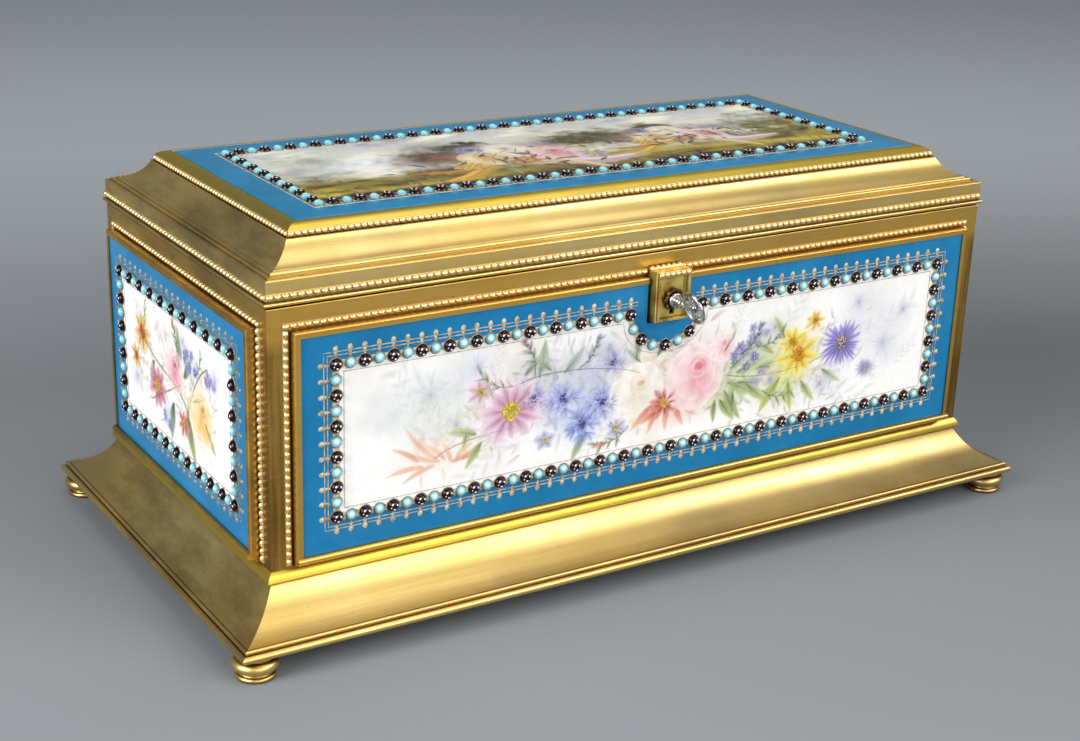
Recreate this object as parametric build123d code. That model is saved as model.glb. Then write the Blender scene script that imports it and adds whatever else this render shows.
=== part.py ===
from build123d import *
import os
from math import atan2, cos, degrees, radians, sin, tan

# A gilt-mounted porcelain jewelry box. Millimetres, +Z up, the front looks along -Y.
# Heights count from the plane that the feet stand on.

# Case
case_length = 300.0
case_depth = 143.0
case_height = 92.5
plate_thickness = 2.0
wall_thickness = 4.5
lining_thickness = 1.6
seat_clearance = 0.3
top_edge_round = 0.5

# Base moulding and feet
foot_height = 8.0
foot_radius = 7.75
foot_inset = 7.3
base_height = 17.5
base_overhang = 17.9
base_board_thickness = 4.6
base_flange = 2.9

# Ornament that is laid out on each face of the case
post_width = 5.25
top_band = 5.3
bottom_band = 4.2
pearl_width = 2.1
pearl_proud = 1.15
pearl_gap = 0.4
bezel_width = 2.1
bezel_proud = 3.6
bezel_lip = 0.8
bezel_lip_thickness = 0.6
bezel_round = 0.5
sill_height = 3.8
sill_round = 1.25
plaque_clearance = 0.2
plaque_round = 0.5

# Lid
lid_gap = 0.7
lid_seat_gap = 0.4
lid_lip_height = 1.3
lid_lip_overhang = 1.2
lid_rim_height = 8.3
lid_rim_overhang = 0.2
lid_pearl_width = 2.2
lid_pearl_proud = 1.3
lid_cove_inset = 12.8
lid_cove_rise = 8.7
lid_frame_step = 1.1
lid_frame_width = 5.2
lid_frame_rise = 3.9
lid_plaque_proud = 0.1
lid_board_gap = 0.5
lid_inner_width = 6.8
upper_pearl_width = 2.1
upper_pearl_proud = 1.05

# Lid hinges
hinge_spread = 190.0
hinge_length = 26.0
hinge_knuckle_radius = 1.9
hinge_pin_radius = 0.9
hinge_running_gap = 0.05
hinge_end_gap = 0.2
hinge_leaf_thickness = 0.9
hinge_leaf_reach = 6.3
hinge_barrel_gap = 0.3
hinge_open_angle = 100.0
hinge_stop_thickness = 1.2
hinge_stop_depth = 1.1
hinge_stop_play = 1.0

# Lock, key and staple
lock_width = 13.8
lock_height = 18.4
lock_proud = 5.9
lock_plate_thickness = 1.2
lock_side_thickness = 1.0
lock_notch_gap = 1.5
lock_notch_foot = 0.8
lock_box_width = 28.0
lock_box_height = 22.9
lock_box_depth = 6.6
lock_box_wall = 1.0
lock_top_gap = 0.1
key_drop = 15.7
key_lean = 20.0
key_shank_radius = 1.6
key_running_gap = 0.06
key_pivot_radius = 0.9
key_bow_reach = 18.4
key_bow_half_width = 5.8
key_bow_half_height = 6.3
key_bow_bar = 1.6
key_bow_thickness = 2.0
key_collar_radius = 2.7
key_bit_radius = 5.2
key_bit_thickness = 1.3
key_bit_width = 3.0
key_throw = 60.0
bolt_travel = 4.5
bolt_thickness = 1.8
bolt_height = 5.1
bolt_lift = 3.0
bolt_clearance = 0.25
staple_thickness = 1.6
staple_width = 3.4
staple_offset = 7.4

# Linings
floor_pad_height = 5.0
lid_pad_height = 5.6
pad_gap = 0.4

# Heights that follow from the sizes above
base_top = foot_height + base_height
case_top = base_top + case_height
lid_bottom = case_top + lid_gap
rim_top = lid_bottom + lid_rim_height
cove_top = rim_top + lid_cove_rise
lid_top = cove_top + lid_frame_rise

# The window of each face, measured in from the case's corner and down from its top
bezel_inset = post_width + pearl_width + pearl_gap
view_inset = bezel_inset + bezel_width
plaque_inset = view_inset - bezel_lip
bezel_top = case_top - top_band - pearl_width - pearl_gap
view_top = bezel_top - bezel_width
plaque_top = view_top + bezel_lip
sill_bottom = base_top + bottom_band
view_bottom = sill_bottom + sill_height
plaque_bottom = view_bottom - bezel_lip
plaque_face = bezel_proud - bezel_lip_thickness

lock_top = case_top - top_band
lock_bottom = lock_top - lock_height
key_height = case_top - key_drop
hinge_height = case_top + lid_gap / 2
hinge_offset = lid_lip_overhang + hinge_barrel_gap + hinge_knuckle_radius
lid_frame_inset = lid_cove_inset + lid_frame_step
lid_back_low = 5.9
lid_back_high = lid_cove_inset + 2.4
board_top = cove_top - 1.8
board_bottom = rim_top - 0.1

OUTWARD = {
    "front": Vector(0, -1, 0),
    "rear": Vector(0, 1, 0),
    "left": Vector(-1, 0, 0),
    "right": Vector(1, 0, 0),
}
UP = Vector(0, 0, 1)
parts = {}


def half_across(side):
    return case_depth / 2 if side in ("front", "rear") else case_length / 2


def half_along(side):
    return case_length / 2 if side in ("front", "rear") else case_depth / 2


def section_plane(side):
    """Local X points out of the case's face and local Y points up."""
    out = OUTWARD[side]
    return Plane(origin=out * half_across(side), x_dir=out, z_dir=out.cross(UP))


def face_plane(side):
    """Local X runs along the face, local Y points up and local Z points out."""
    out = OUTWARD[side]
    return Plane(origin=out * half_across(side), x_dir=UP.cross(out), z_dir=out)


def section(start, *steps):
    """A closed outline. A step of one point is a line, and a step of two is an arc through the first."""
    edges = []
    here = start
    for step in steps:
        if isinstance(step[0], tuple):
            middle, there = step
            edges.append(ThreePointArc(here, middle, there))
        else:
            there = step
            edges.append(Line(here, there))
        here = there
    edges.append(Line(here, start))
    return Face(Wire(edges))


def block(x_from, x_to, y_from, y_to, z_from, z_to):
    size = Box(x_to - x_from, y_to - y_from, z_to - z_from)
    return Pos((x_from + x_to) / 2, (y_from + y_to) / 2, (z_from + z_to) / 2) * size


def mitred(side, solid):
    """Cut both ends on the planes that halve the corners of the case."""
    outer = 60.0
    inner = 40.0
    along = half_along(side)
    out = OUTWARD[side]
    plan = Plane(origin=out * half_across(side), x_dir=UP.cross(out), z_dir=-UP)
    wedge = Polygon(
        (-along - outer, outer),
        (along + outer, outer),
        (along - inner, -inner),
        (inner - along, -inner),
        align=None,
    )
    return solid & extrude(plan * wedge, amount=2 * lid_top, both=True)


def moulding(side, outline):
    """A straight length of one section with both ends mitred."""
    length = half_along(side) + base_overhang + 5.0
    return mitred(side, extrude(section_plane(side) * outline, amount=length, both=True))


def ring(outline):
    """The same section carried round all four sides."""
    whole = moulding("front", outline)
    for side in ("right", "rear", "left"):
        whole = whole + moulding(side, outline)
    return whole


def frame(width_out, width_in, low_out, low_in, high_out, high_in, depth):
    """A rectangular frame on the local XY plane, standing up along local Z."""
    outer = block(-width_out, width_out, low_out, high_out, 0, depth)
    inner = block(-width_in, width_in, low_in, high_in, -1, depth + 1)
    return outer - inner


def slab(inset, z_from, z_to):
    """A rectangular board that stands in from the case's faces by inset on every side."""
    x_half = case_length / 2 - inset
    y_half = case_depth / 2 - inset
    return block(-x_half, x_half, -y_half, y_half, z_from, z_to)


def base_section():
    """Beaded lip, wide hollow and top fillet, with a hollow back."""
    lip = foot_height
    reach = base_overhang
    return section(
        (-plate_thickness, base_top),
        (0.5, base_top),
        ((0.85, base_top - 0.45), (0.5, base_top - 0.9)),
        (0.3, base_top - 0.9),
        ((0.36 * reach, lip + 0.49 * base_height), (reach - 2.8, lip + 4.1)),
        (reach - 2.8, lip + 3.8),
        ((reach - 1.6, lip + 3.3), (reach - 2.1, lip + 2.75)),
        (reach - 2.1, lip + 2.5),
        (reach - 1.3, lip + 2.5),
        ((reach, lip + 1.25), (reach - 1.3, lip)),
        (reach - base_flange, lip),
        (reach - base_flange, lip + 2.2),
        ((0.28 * reach, lip + 0.395 * base_height), (0.3 - plate_thickness, base_top - 1.9)),
        (-plate_thickness, base_top - 1.9),
    )


def build_base():
    for side in OUTWARD:
        parts[f"base_moulding_{side}"] = moulding(side, base_section())
    edge = base_flange + seat_clearance - base_overhang
    bevel = 8.0
    low = slab(edge, foot_height, foot_height + 1.2)
    x_half = case_length / 2 - edge
    y_half = case_depth / 2 - edge
    bottom = Pos(0, 0, foot_height + 1.2) * Rectangle(2 * x_half, 2 * y_half)
    top_face = Pos(0, 0, foot_height + base_board_thickness) * Rectangle(
        2 * (x_half - bevel), 2 * (y_half - bevel)
    )
    parts["base_board"] = low + loft([bottom, top_face])
    x_foot = case_length / 2 + base_overhang - foot_inset
    y_foot = case_depth / 2 + base_overhang - foot_inset
    parts["feet"] = [Pos(x, y, 0) * foot() for x in (-x_foot, x_foot) for y in (-y_foot, y_foot)]


def foot():
    """A turned bun foot: foot ring, hollow, bun and neck. It repeats, so the bun is in flat bands."""
    r = foot_radius
    h = foot_height
    outline = section(
        (0, 0),
        (0.86 * r, 0),
        (0.86 * r, 0.22 * h),
        (0.76 * r, 0.34 * h),
        (0.92 * r, 0.44 * h),
        (r, 0.55 * h),
        (r, 0.71 * h),
        (0.92 * r, 0.83 * h),
        (0.8 * r, 0.9 * h),
        (0.8 * r, h),
        (0, h),
    )
    return revolve(Plane.XZ * outline, Axis.Z)


def lock_cut(gap, foot_gap, depth_from, depth_to):
    """The space that a face leaves for the lock plate, open at the top."""
    half = lock_width / 2 + gap
    return block(-half, half, lock_bottom - foot_gap, lock_top + plaque_clearance, depth_from, depth_to)


def build_faces():
    for side in OUTWARD:
        along = half_along(side)
        place = face_plane(side)
        opening = plaque_inset - plaque_clearance

        plate = block(-along, along, base_top, case_top, -plate_thickness, 0)
        plate = plate - block(
            opening - along,
            along - opening,
            plaque_bottom - plaque_clearance,
            plaque_top + plaque_clearance,
            -plate_thickness - 1,
            1,
        )
        top_edges = plate.edges().filter_by(Axis.X).sort_by(Axis.Y)[-2:]
        plate = fillet(top_edges.sort_by(Axis.Z)[-1:], top_edge_round)

        plaque = block(
            plaque_inset - along,
            along - plaque_inset,
            plaque_bottom,
            plaque_top,
            -plate_thickness,
            plaque_face,
        )
        plaque = fillet(plaque.faces().sort_by(Axis.Z)[-1].edges(), plaque_round)

        bezel = build_bezel(along)
        pearls = build_pearls(along)
        if side == "front":
            plate = plate - lock_cut(plaque_clearance, 0, -plate_thickness - 1, 1)
            plaque = plaque - lock_cut(lock_notch_gap, lock_notch_foot, -plate_thickness - 1, 9)
            bezel = bezel - lock_cut(lock_notch_gap, lock_notch_foot, -1, 9)
            pearls = pearls - lock_cut(plaque_clearance, 0, -1, 9)

        parts[f"frame_{side}"] = mitred(side, place * plate)
        parts[f"porcelain_{side}"] = place * plaque
        parts[f"bezel_{side}"] = place * bezel
        parts[f"pearls_{side}"] = place * pearls


def build_bezel(along):
    """The raised gilt border that grips the plaque, with a half-round sill under it."""
    out = along - bezel_inset
    view = along - view_inset
    seat = along - plaque_inset + plaque_clearance
    low = sill_bottom + sill_height / 2
    border = frame(out, view, low, view_bottom, bezel_top, view_top, bezel_proud)
    outer_edges = border.faces().sort_by(Axis.Z)[-1].outer_wire().edges()
    border = fillet(outer_edges, bezel_round)
    pocket = block(
        -seat,
        seat,
        plaque_bottom - plaque_clearance,
        plaque_top + plaque_clearance,
        -1,
        plaque_face + plaque_clearance / 2,
    )
    z = sill_bottom
    sill = section(
        (0, z),
        ((1.5, z + 0.3), (0.7 * bezel_proud, z + sill_height - 2 * sill_round)),
        (bezel_proud, z + sill_height - 2 * sill_round),
        ((bezel_proud + sill_round, z + sill_height - sill_round), (bezel_proud, z + sill_height)),
        (0, z + sill_height),
    )
    upright = Plane(origin=(0, 0, 0), x_dir=(0, 0, 1), z_dir=(-1, 0, 0))
    bar = extrude(upright * sill, amount=out, both=True)
    return border + bar - pocket


def build_pearls(along):
    """Half-round strips for the bead rows, up both sides and across the top of a face."""
    out = along - post_width
    inner = out - pearl_width
    high = case_top - top_band
    low = sill_bottom + 0.4
    strip = frame(out, inner, low - 20, low - 18, high, high - pearl_width, pearl_proud)
    strip = fillet(strip.faces().sort_by(Axis.Z)[-1].edges(), 0.8)
    return strip - block(-along, along, low - 30, low, -1, 9)


def build_walls():
    """Wooden carcass boards behind the gilt frames, with their silk linings and the floor pad."""
    floor = foot_height + base_board_thickness
    back = plate_thickness
    inside = plate_thickness + wall_thickness
    x_out = case_length / 2 - back
    x_in = case_length / 2 - inside
    y_out = case_depth / 2 - back
    y_in = case_depth / 2 - inside
    walls = {
        "front": block(-x_out, x_out, -y_out, -y_in, floor, case_top),
        "rear": block(-x_out, x_out, y_in, y_out, floor, case_top),
        "left": block(-x_out, -x_in, -y_in, y_in, floor, case_top),
        "right": block(x_in, x_out, -y_in, y_in, floor, case_top),
    }
    t = lining_thickness
    high = case_top - 2.0
    linings = {
        "front": block(-x_in, x_in, -y_in, t - y_in, floor, high),
        "rear": block(-x_in, x_in, y_in - t, y_in, floor, high),
        "left": block(-x_in, t - x_in, t - y_in, y_in - t, floor, high),
        "right": block(x_in - t, x_in, t - y_in, y_in - t, floor, high),
    }
    half = lock_box_width / 2
    low = lock_box_top() - lock_box_height
    walls["front"] = walls["front"] - block(
        -half - seat_clearance, half + seat_clearance, -y_out - 1, 0, low - seat_clearance, case_top + 1
    )
    linings["front"] = linings["front"] - block(
        -half - pad_gap, half + pad_gap, -y_out, 0, low - pad_gap, case_top + 1
    )
    for x in hinge_places():
        walls["rear"] = walls["rear"] - hinge_mortise(x, case_top - hinge_leaf_thickness, case_top + 1)
        parts["frame_rear"] = parts["frame_rear"] - hinge_mortise(
            x, case_top - hinge_leaf_thickness, case_top + 1
        )
    for side in OUTWARD:
        parts[f"wall_{side}"] = walls[side]
        parts[f"lining_{side}"] = linings[side]
    gap = pad_gap
    parts["floor_pad"] = pad(x_in - t - gap, y_in - t - gap, floor, floor_pad_height)


def pad(x_half, y_half, z, height):
    """A stuffed pad: a flat back, sides that swell and draw in, and a low crown."""
    levels = ((0.0, 1.2), (0.35, 0.0), (0.75, 2.0), (1.0, 20.0))
    outlines = []
    for share, draw in levels:
        outlines.append(
            Pos(0, 0, z + share * height) * RectangleRounded(
                2 * (x_half - draw), 2 * (y_half - draw), 5.0
            )
        )
    return loft(outlines, ruled=True)


def lock_box_top():
    return case_top - lock_top_gap


def lock_local(o_from, o_to):
    """Y range of a slice of the lock that lies between two distances out of the front face."""
    return -case_depth / 2 - o_to, -case_depth / 2 - o_from


def along_y(radius, o_from, o_to, x=0.0, z=None):
    """A round bar or bore that runs front to back."""
    y_from, y_to = lock_local(o_from, o_to)
    bar = Rot(90, 0, 0) * Cylinder(radius, y_to - y_from)
    return Pos(x, (y_from + y_to) / 2, key_height if z is None else z) * bar


def lock_slice(x_from, x_to, o_from, o_to, z_from, z_to):
    y_from, y_to = lock_local(o_from, o_to)
    return block(x_from, x_to, y_from, y_to, z_from, z_to)


def build_lock():
    half = lock_width / 2
    box_half = lock_box_width / 2
    back = -plate_thickness
    cavity_front = back - lock_box_wall
    cavity_back = back - lock_box_depth
    top = lock_box_top()
    bottom = top - lock_box_height
    w = lock_box_wall

    shell = lock_slice(-half, half, back, lock_proud, lock_bottom, lock_top)
    shell = fillet(shell.faces().sort_by(Axis.Y)[0].edges().filter_by(Axis.Z), 0.6)
    hollow = lock_slice(
        lock_side_thickness - half,
        half - lock_side_thickness,
        back - 1,
        lock_proud - lock_plate_thickness,
        lock_bottom + lock_side_thickness,
        lock_top - lock_side_thickness,
    )
    strip = lock_slice(-half, half, lock_proud, lock_proud + 1.0, lock_top - pearl_width, lock_top)
    strip = fillet(strip.faces().sort_by(Axis.Y)[0].edges().filter_by(Axis.X), 0.8)
    keyhole = along_y(key_shank_radius + key_running_gap, 0, lock_proud + 3)
    keyslot = lock_slice(
        -key_bit_thickness / 2 - 0.35,
        key_bit_thickness / 2 + 0.35,
        0,
        lock_proud + 3,
        key_height - key_bit_radius - 0.3,
        key_height,
    )
    parts["lock_plate"] = shell + strip - hollow - keyhole - keyslot

    box = lock_slice(-box_half, box_half, cavity_back, back, bottom, top)
    box = box - lock_slice(
        w - box_half, box_half - w, cavity_back - 1, cavity_front, bottom + w, top - w
    )
    guide = lock_slice(
        w - box_half, -6.0, -7.6, cavity_front, key_height + 0.7, bolt_bottom() - 0.2
    )
    slot_gap = 0.6
    staple_slot = lock_slice(
        staple_offset - staple_thickness / 2 - slot_gap,
        staple_offset + staple_thickness / 2 + slot_gap,
        staple_back() - 0.7,
        staple_front() + 1.0,
        top - w - 1,
        top + 1,
    )
    box = box + guide - staple_slot
    box = box - along_y(key_shank_radius + key_running_gap, back - 3, back + 3)
    plate = lock_slice(-box_half, box_half, cavity_back - 1.0, cavity_back, bottom, top)
    plate = plate - along_y(key_pivot_radius + key_running_gap, cavity_back - 3, cavity_back + 1)
    parts["lock_box"] = box
    parts["lock_back_plate"] = plate

    left = w - box_half
    rise = bolt_bottom() + bolt_height
    spring = section(
        (left, rise + 2.6),
        ((left + 5.5, rise + 1.8), (left + 11.5, rise + 0.6)),
        (left + 11.5, rise + 0.25),
        ((left + 5.3, rise + 1.4), (left, rise + 2.2)),
    )
    y_front, y_back = lock_local(bolt_back(), bolt_front())
    upright = Plane(origin=(0, y_front, 0), x_dir=(1, 0, 0), z_dir=(0, -1, 0))
    parts["lock_spring"] = extrude(upright * spring, amount=y_front - y_back)


def bolt_bottom():
    return key_height + bolt_lift


def bolt_front():
    return staple_back() + 0.2 + bolt_thickness


def bolt_back():
    return staple_back() + 0.2


def staple_front():
    return -plate_thickness - lock_box_wall - 1.2


def staple_back():
    return staple_front() - staple_width


def talon_range():
    """The stretch of the bolt that the bit sweeps, in the bolt's own frame, found at seven key turns."""
    low = []
    high = []
    for step in range(7):
        turn = key_throw * step / 6
        lean = radians(turn - key_lean)
        shift = bolt_travel * step / 6
        for height in (bolt_lift, key_bit_radius * cos(lean)):
            centre = height * tan(lean) - shift
            half = key_bit_thickness / 2 / cos(lean)
            low.append(centre - half)
            high.append(centre + half)
    return min(low) - bolt_clearance, max(high) + bolt_clearance


def build_bolt():
    """The bolt: a tail on its guide, a talon notch for the bit and a tongue for the staple."""
    notch_from, notch_to = talon_range()
    bottom = bolt_bottom()
    top = bottom + bolt_height
    tail = -lock_box_width / 2 + lock_box_wall + 0.6
    shoulder = notch_to + 1.4
    tip = staple_offset - staple_thickness / 2 - 0.6
    body = lock_slice(tail, shoulder, bolt_back(), bolt_front(), bottom, top)
    notch = lock_slice(
        notch_from,
        notch_to,
        bolt_back() - 1,
        bolt_front() + 1,
        bottom - 1,
        key_height + key_bit_radius + bolt_clearance,
    )
    tongue = lock_slice(shoulder, tip, bolt_back(), bolt_front(), top - 2.2, top)
    parts["lock_bolt"] = body - notch + tongue


def build_key():
    """Openwork bow, moulded neck, collar, shank and bit, leaning as the key stands in the lock."""
    y_face = -case_depth / 2
    r = key_shank_radius
    pivot_start = -plate_thickness - lock_box_depth + 0.2
    neck_end = key_bow_reach - key_bow_half_width + 0.8
    turned = section(
        (0, neck_end),
        (0.7 * r, neck_end),
        (1.2 * r, neck_end - 0.9),
        (0.85 * r, neck_end - 1.8),
        (r, lock_proud + 2.7),
        (key_collar_radius - 0.4, lock_proud + 2.7),
        (key_collar_radius, lock_proud + 2.2),
        (key_collar_radius, lock_proud + 1.3),
        (r, lock_proud + 1.3),
        (r, pivot_start),
        (key_pivot_radius, pivot_start),
        (key_pivot_radius, pivot_start - 1.1),
        (0, pivot_start - 1.1),
    )
    plan = Plane(origin=(0, y_face, 0), x_dir=(1, 0, 0), z_dir=(0, 0, -1))
    shank = revolve(plan * turned, Axis((0, 0, 0), (0, 1, 0)))

    outer = Ellipse(key_bow_half_width, key_bow_half_height)
    inner = Ellipse(key_bow_half_width - key_bow_bar, key_bow_half_height - key_bow_bar)
    openwork = outer - inner
    for turn in (0, 90):
        openwork = openwork + Rot(0, 0, turn) * Rectangle(2 * (key_bow_half_width - 0.5), 0.9)
    openwork = openwork + Rot(0, 0, 45) * Rectangle(3.2, 3.2)
    side_on = Plane(
        origin=(0, y_face - key_bow_reach, 0), x_dir=(0, -1, 0), z_dir=(1, 0, 0)
    )
    bow = extrude(side_on * openwork, amount=key_bow_thickness / 2, both=True)

    bit_front = bolt_front() + (key_bit_width - bolt_thickness) / 2
    y_from, y_to = lock_local(bit_front - key_bit_width, bit_front)
    bit = block(
        -key_bit_thickness / 2, key_bit_thickness / 2, y_from, y_to, 0.8 * r, key_bit_radius
    )
    key = shank + bow + bit
    parts["key"] = Pos(0, 0, key_height) * Rot(0, -key_lean, 0) * key


def lid_section():
    """Lip, groove, plain rim, stepped ledge and hollow, down to the hollow back."""
    z = lid_bottom
    lip = lid_lip_overhang
    rim = lid_rim_overhang
    cove = -lid_cove_inset
    foot = rim_top + 1.7
    return section(
        (-2.5, z),
        (lip - 0.5, z),
        ((lip, z + lid_lip_height / 2), (lip - 0.5, z + lid_lip_height)),
        (rim - 0.3, z + lid_lip_height),
        (rim - 0.3, z + lid_lip_height + 0.5),
        (rim, z + lid_lip_height + 0.5),
        (rim, rim_top - 0.4),
        ((rim - 0.12, rim_top - 0.12), (rim - 0.4, rim_top)),
        (rim - 1.4, rim_top),
        (rim - 1.4, rim_top + 0.6),
        (rim - 3.0, rim_top + 0.6),
        ((rim - 3.7, rim_top + 1.5), (rim - 4.4, rim_top + 1.2)),
        (rim - 4.8, foot),
        ((0.6 * cove - 1.9, foot + 2.5), (cove, cove_top - 0.4)),
        (cove, cove_top),
        (cove - 3.8, cove_top),
        (cove - 3.8, cove_top - 1.6),
        (-lid_back_high, cove_top - 1.7),
        (-lid_back_low, rim_top - 0.1),
        (-2.5, rim_top - 0.1),
    )


def build_lid():
    for side in OUTWARD:
        parts[f"lid_moulding_{side}"] = moulding(side, lid_section())
    for x in hinge_places():
        parts["lid_moulding_rear"] = parts["lid_moulding_rear"] - hinge_mortise(
            x, lid_bottom - 1, lid_bottom + hinge_leaf_thickness
        )

    start = lid_bottom + lid_lip_height + 0.6
    middle = start + lid_pearl_width / 2
    rim = lid_rim_overhang
    lower = section(
        (rim, start),
        ((rim + lid_pearl_proud, middle), (rim, start + lid_pearl_width)),
    )
    parts["lid_pearls_lower"] = ring(lower)
    out = -lid_frame_inset
    start = cove_top + 0.05
    middle = start + upper_pearl_width / 2
    upper = section(
        (out, start),
        ((out + upper_pearl_proud, middle), (out, start + upper_pearl_width)),
    )
    parts["lid_pearls_upper"] = ring(upper)

    inner = out - lid_frame_width
    top = section(
        (out, cove_top),
        (out, cove_top + upper_pearl_width + 0.1),
        ((out - 1.9, cove_top + 0.86 * lid_frame_rise), (inner + 0.6, lid_top)),
        ((inner + 0.15, lid_top - 0.12), (inner, lid_top - 0.5)),
        (inner, cove_top - 1.4),
        (-lid_cove_inset - 4.1, cove_top - 1.4),
        (-lid_cove_inset - 4.1, cove_top),
    )
    parts["lid_frame"] = ring(top)

    low = lid_back_low + lid_board_gap
    high = lid_back_high + lid_board_gap
    bottom_face = Pos(0, 0, board_bottom) * Rectangle(case_length - 2 * low, case_depth - 2 * low)
    top_face = Pos(0, 0, board_top) * Rectangle(case_length - 2 * high, case_depth - 2 * high)
    parts["lid_board"] = loft([bottom_face, top_face])
    plaque_edge = -inner + plaque_clearance
    plaque = slab(plaque_edge, board_top, lid_top + lid_plaque_proud)
    plaque = fillet(plaque.faces().sort_by(Axis.Z)[-1].edges(), plaque_round)
    parts["porcelain_lid"] = plaque

    outer = 2.8
    inner_edge = outer + lid_inner_width
    frame_bottom = case_top + lid_seat_gap
    rails = slab(outer, frame_bottom, board_bottom) - slab(inner_edge, frame_bottom - 1, board_bottom + 1)
    for x in hinge_places():
        rails = rails - hinge_mortise(x, frame_bottom - 1, lid_bottom + hinge_leaf_thickness)
    staple_pocket = staple_foot(0.1)
    rails = rails - staple_pocket
    parts["lid_inner_frame"] = rails
    parts["lid_pad"] = Pos(0, 0, 2 * board_bottom) * Rot(180, 0, 0) * pad(
        case_length / 2 - inner_edge - pad_gap,
        case_depth / 2 - inner_edge - pad_gap,
        board_bottom,
        lid_pad_height,
    )


def staple_foot(gap):
    frame_bottom = case_top + lid_seat_gap
    return lock_slice(
        staple_offset - 6 - gap,
        staple_offset + 6 + gap,
        staple_back() - gap,
        staple_front() + gap,
        frame_bottom - (1 if gap else 0),
        frame_bottom + 1.0,
    )


def build_staple():
    """The lid's hooked staple, which the bolt's tongue enters from the left."""
    top = bolt_bottom() + bolt_height
    tongue_bottom = top - 2.2
    low = tongue_bottom - 2.0
    leg = lock_slice(
        staple_offset - staple_thickness / 2,
        staple_offset + staple_thickness / 2,
        staple_back(),
        staple_front(),
        low,
        case_top + lid_seat_gap,
    )
    hook = lock_slice(
        staple_offset - staple_thickness,
        staple_offset + staple_thickness,
        staple_back() - 1,
        staple_front() - 1.1,
        tongue_bottom - 0.4,
        top + 0.5,
    )
    parts["lock_staple"] = leg - hook + staple_foot(0)


def hinge_places():
    return (-hinge_spread / 2, hinge_spread / 2)


def hinge_mortise(x, z_from, z_to):
    y_back = case_depth / 2 - hinge_leaf_reach - 0.1
    half = hinge_length / 2 + 0.1
    return block(x - half, x + half, y_back, case_depth / 2 + 9, z_from, z_to)


def along_x(radius, x_from, x_to, y, z):
    bar = Rot(0, 90, 0) * Cylinder(radius, x_to - x_from)
    return Pos((x_from + x_to) / 2, y, z) * bar


def build_hinges():
    """Two butt hinges: leaves let into the joint of lid and case, knuckles outside the rear face."""
    y_axis = case_depth / 2 + hinge_offset
    y_back = case_depth / 2 - hinge_leaf_reach
    half = hinge_length / 2
    third = hinge_length / 6
    t = hinge_leaf_thickness
    bore_radius = hinge_pin_radius + hinge_running_gap
    pins = []
    stop_high = -hinge_knuckle_radius - hinge_barrel_gap
    stop_low = stop_high - hinge_stop_depth
    stop_half = hinge_stop_thickness / 2
    touch = 2 * degrees(atan2(stop_half, -stop_high))
    heel_angle = hinge_open_angle - 90 + touch + hinge_stop_play
    for name, x in zip(("left", "right"), hinge_places()):
        bore = along_x(bore_radius, x - half - 1, x + half + 1, y_axis, hinge_height)
        middle = block(
            x - third - hinge_end_gap,
            x + third + hinge_end_gap,
            y_axis - hinge_knuckle_radius - hinge_barrel_gap,
            y_axis + 9,
            hinge_height - 9,
            hinge_height + 9,
        )
        leaf = block(x - half, x + half, y_back, y_axis, case_top - t, case_top)
        knuckle = along_x(hinge_knuckle_radius, x - half, x + half, y_axis, hinge_height)
        stop_legs = block(
            x - half, x + half, y_axis - stop_half, y_axis + stop_half, hinge_height + stop_low, hinge_height
        )
        stop_bar = block(
            x - half,
            x + half,
            y_axis - stop_half,
            y_axis + stop_half,
            hinge_height + stop_low,
            hinge_height + stop_high,
        )
        case_leaf = leaf + knuckle + stop_legs - middle + stop_bar - bore
        leaf = block(x - half, x + half, y_back, case_depth / 2 + 0.2, lid_bottom, lid_bottom + t)
        neck = block(x - third, x + third, case_depth / 2, y_axis, lid_bottom, lid_bottom + t)
        knuckle = along_x(hinge_knuckle_radius, x - third, x + third, y_axis, hinge_height)
        heel = Pos(x, y_axis, hinge_height) * Rot(heel_angle, 0, 0) * block(
            -third, third, 0, -stop_low - 0.1, -stop_half, stop_half
        )
        lid_leaf = leaf + neck + knuckle + heel - bore
        parts[f"hinge_case_leaf_{name}"] = case_leaf
        parts[f"hinge_lid_leaf_{name}"] = lid_leaf
        pins.append(along_x(hinge_pin_radius, x - half, x + half, y_axis, hinge_height))
    parts["hinge_pins"] = pins


def outline_shift():
    """The key's bow reaches further forward than the base, so the outline's middle lies off the case's."""
    front = case_depth / 2 + key_bow_reach + key_bow_half_width
    rear = case_depth / 2 + base_overhang + max(0.0, foot_radius - foot_inset)
    return max(0.0, (front - rear) / 2)


build_base()
build_faces()
build_walls()
build_lock()
build_bolt()
build_key()
build_lid()
build_staple()
build_hinges()

os.makedirs("parts", exist_ok=True)
place = Pos(0, outline_shift(), 0)
for name, shape in parts.items():
    pieces = shape if isinstance(shape, list) else shape.solids()
    solids = [place * solid for piece in pieces for solid in piece.solids()]
    export_step(solids[0] if len(solids) == 1 else Compound(solids), f"parts/{name}.step")
print(f"{len(parts)} parts, outline shift {outline_shift():.2f}")
print(f"hinge axis y {case_depth / 2 + hinge_offset + outline_shift():.3f} z {hinge_height:.3f}")
print(f"key axis z {key_height:.3f}, case top {case_top:.2f}, lid top {lid_top:.2f}")
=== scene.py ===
"""Porcelain jewelry box: gilt, beaded wire, painted porcelain, lock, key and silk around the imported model.

Lengths inside the functions are in millimetres. A face of the case has its own coordinates: u runs along
it to the right as it is looked at, v is the height above the floor and n the distance out of the face.
On top of the lid u and v run along X and Y, and n is the height.
"""

import math

import bpy
import numpy as np
from mathutils import Matrix, Vector


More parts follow.
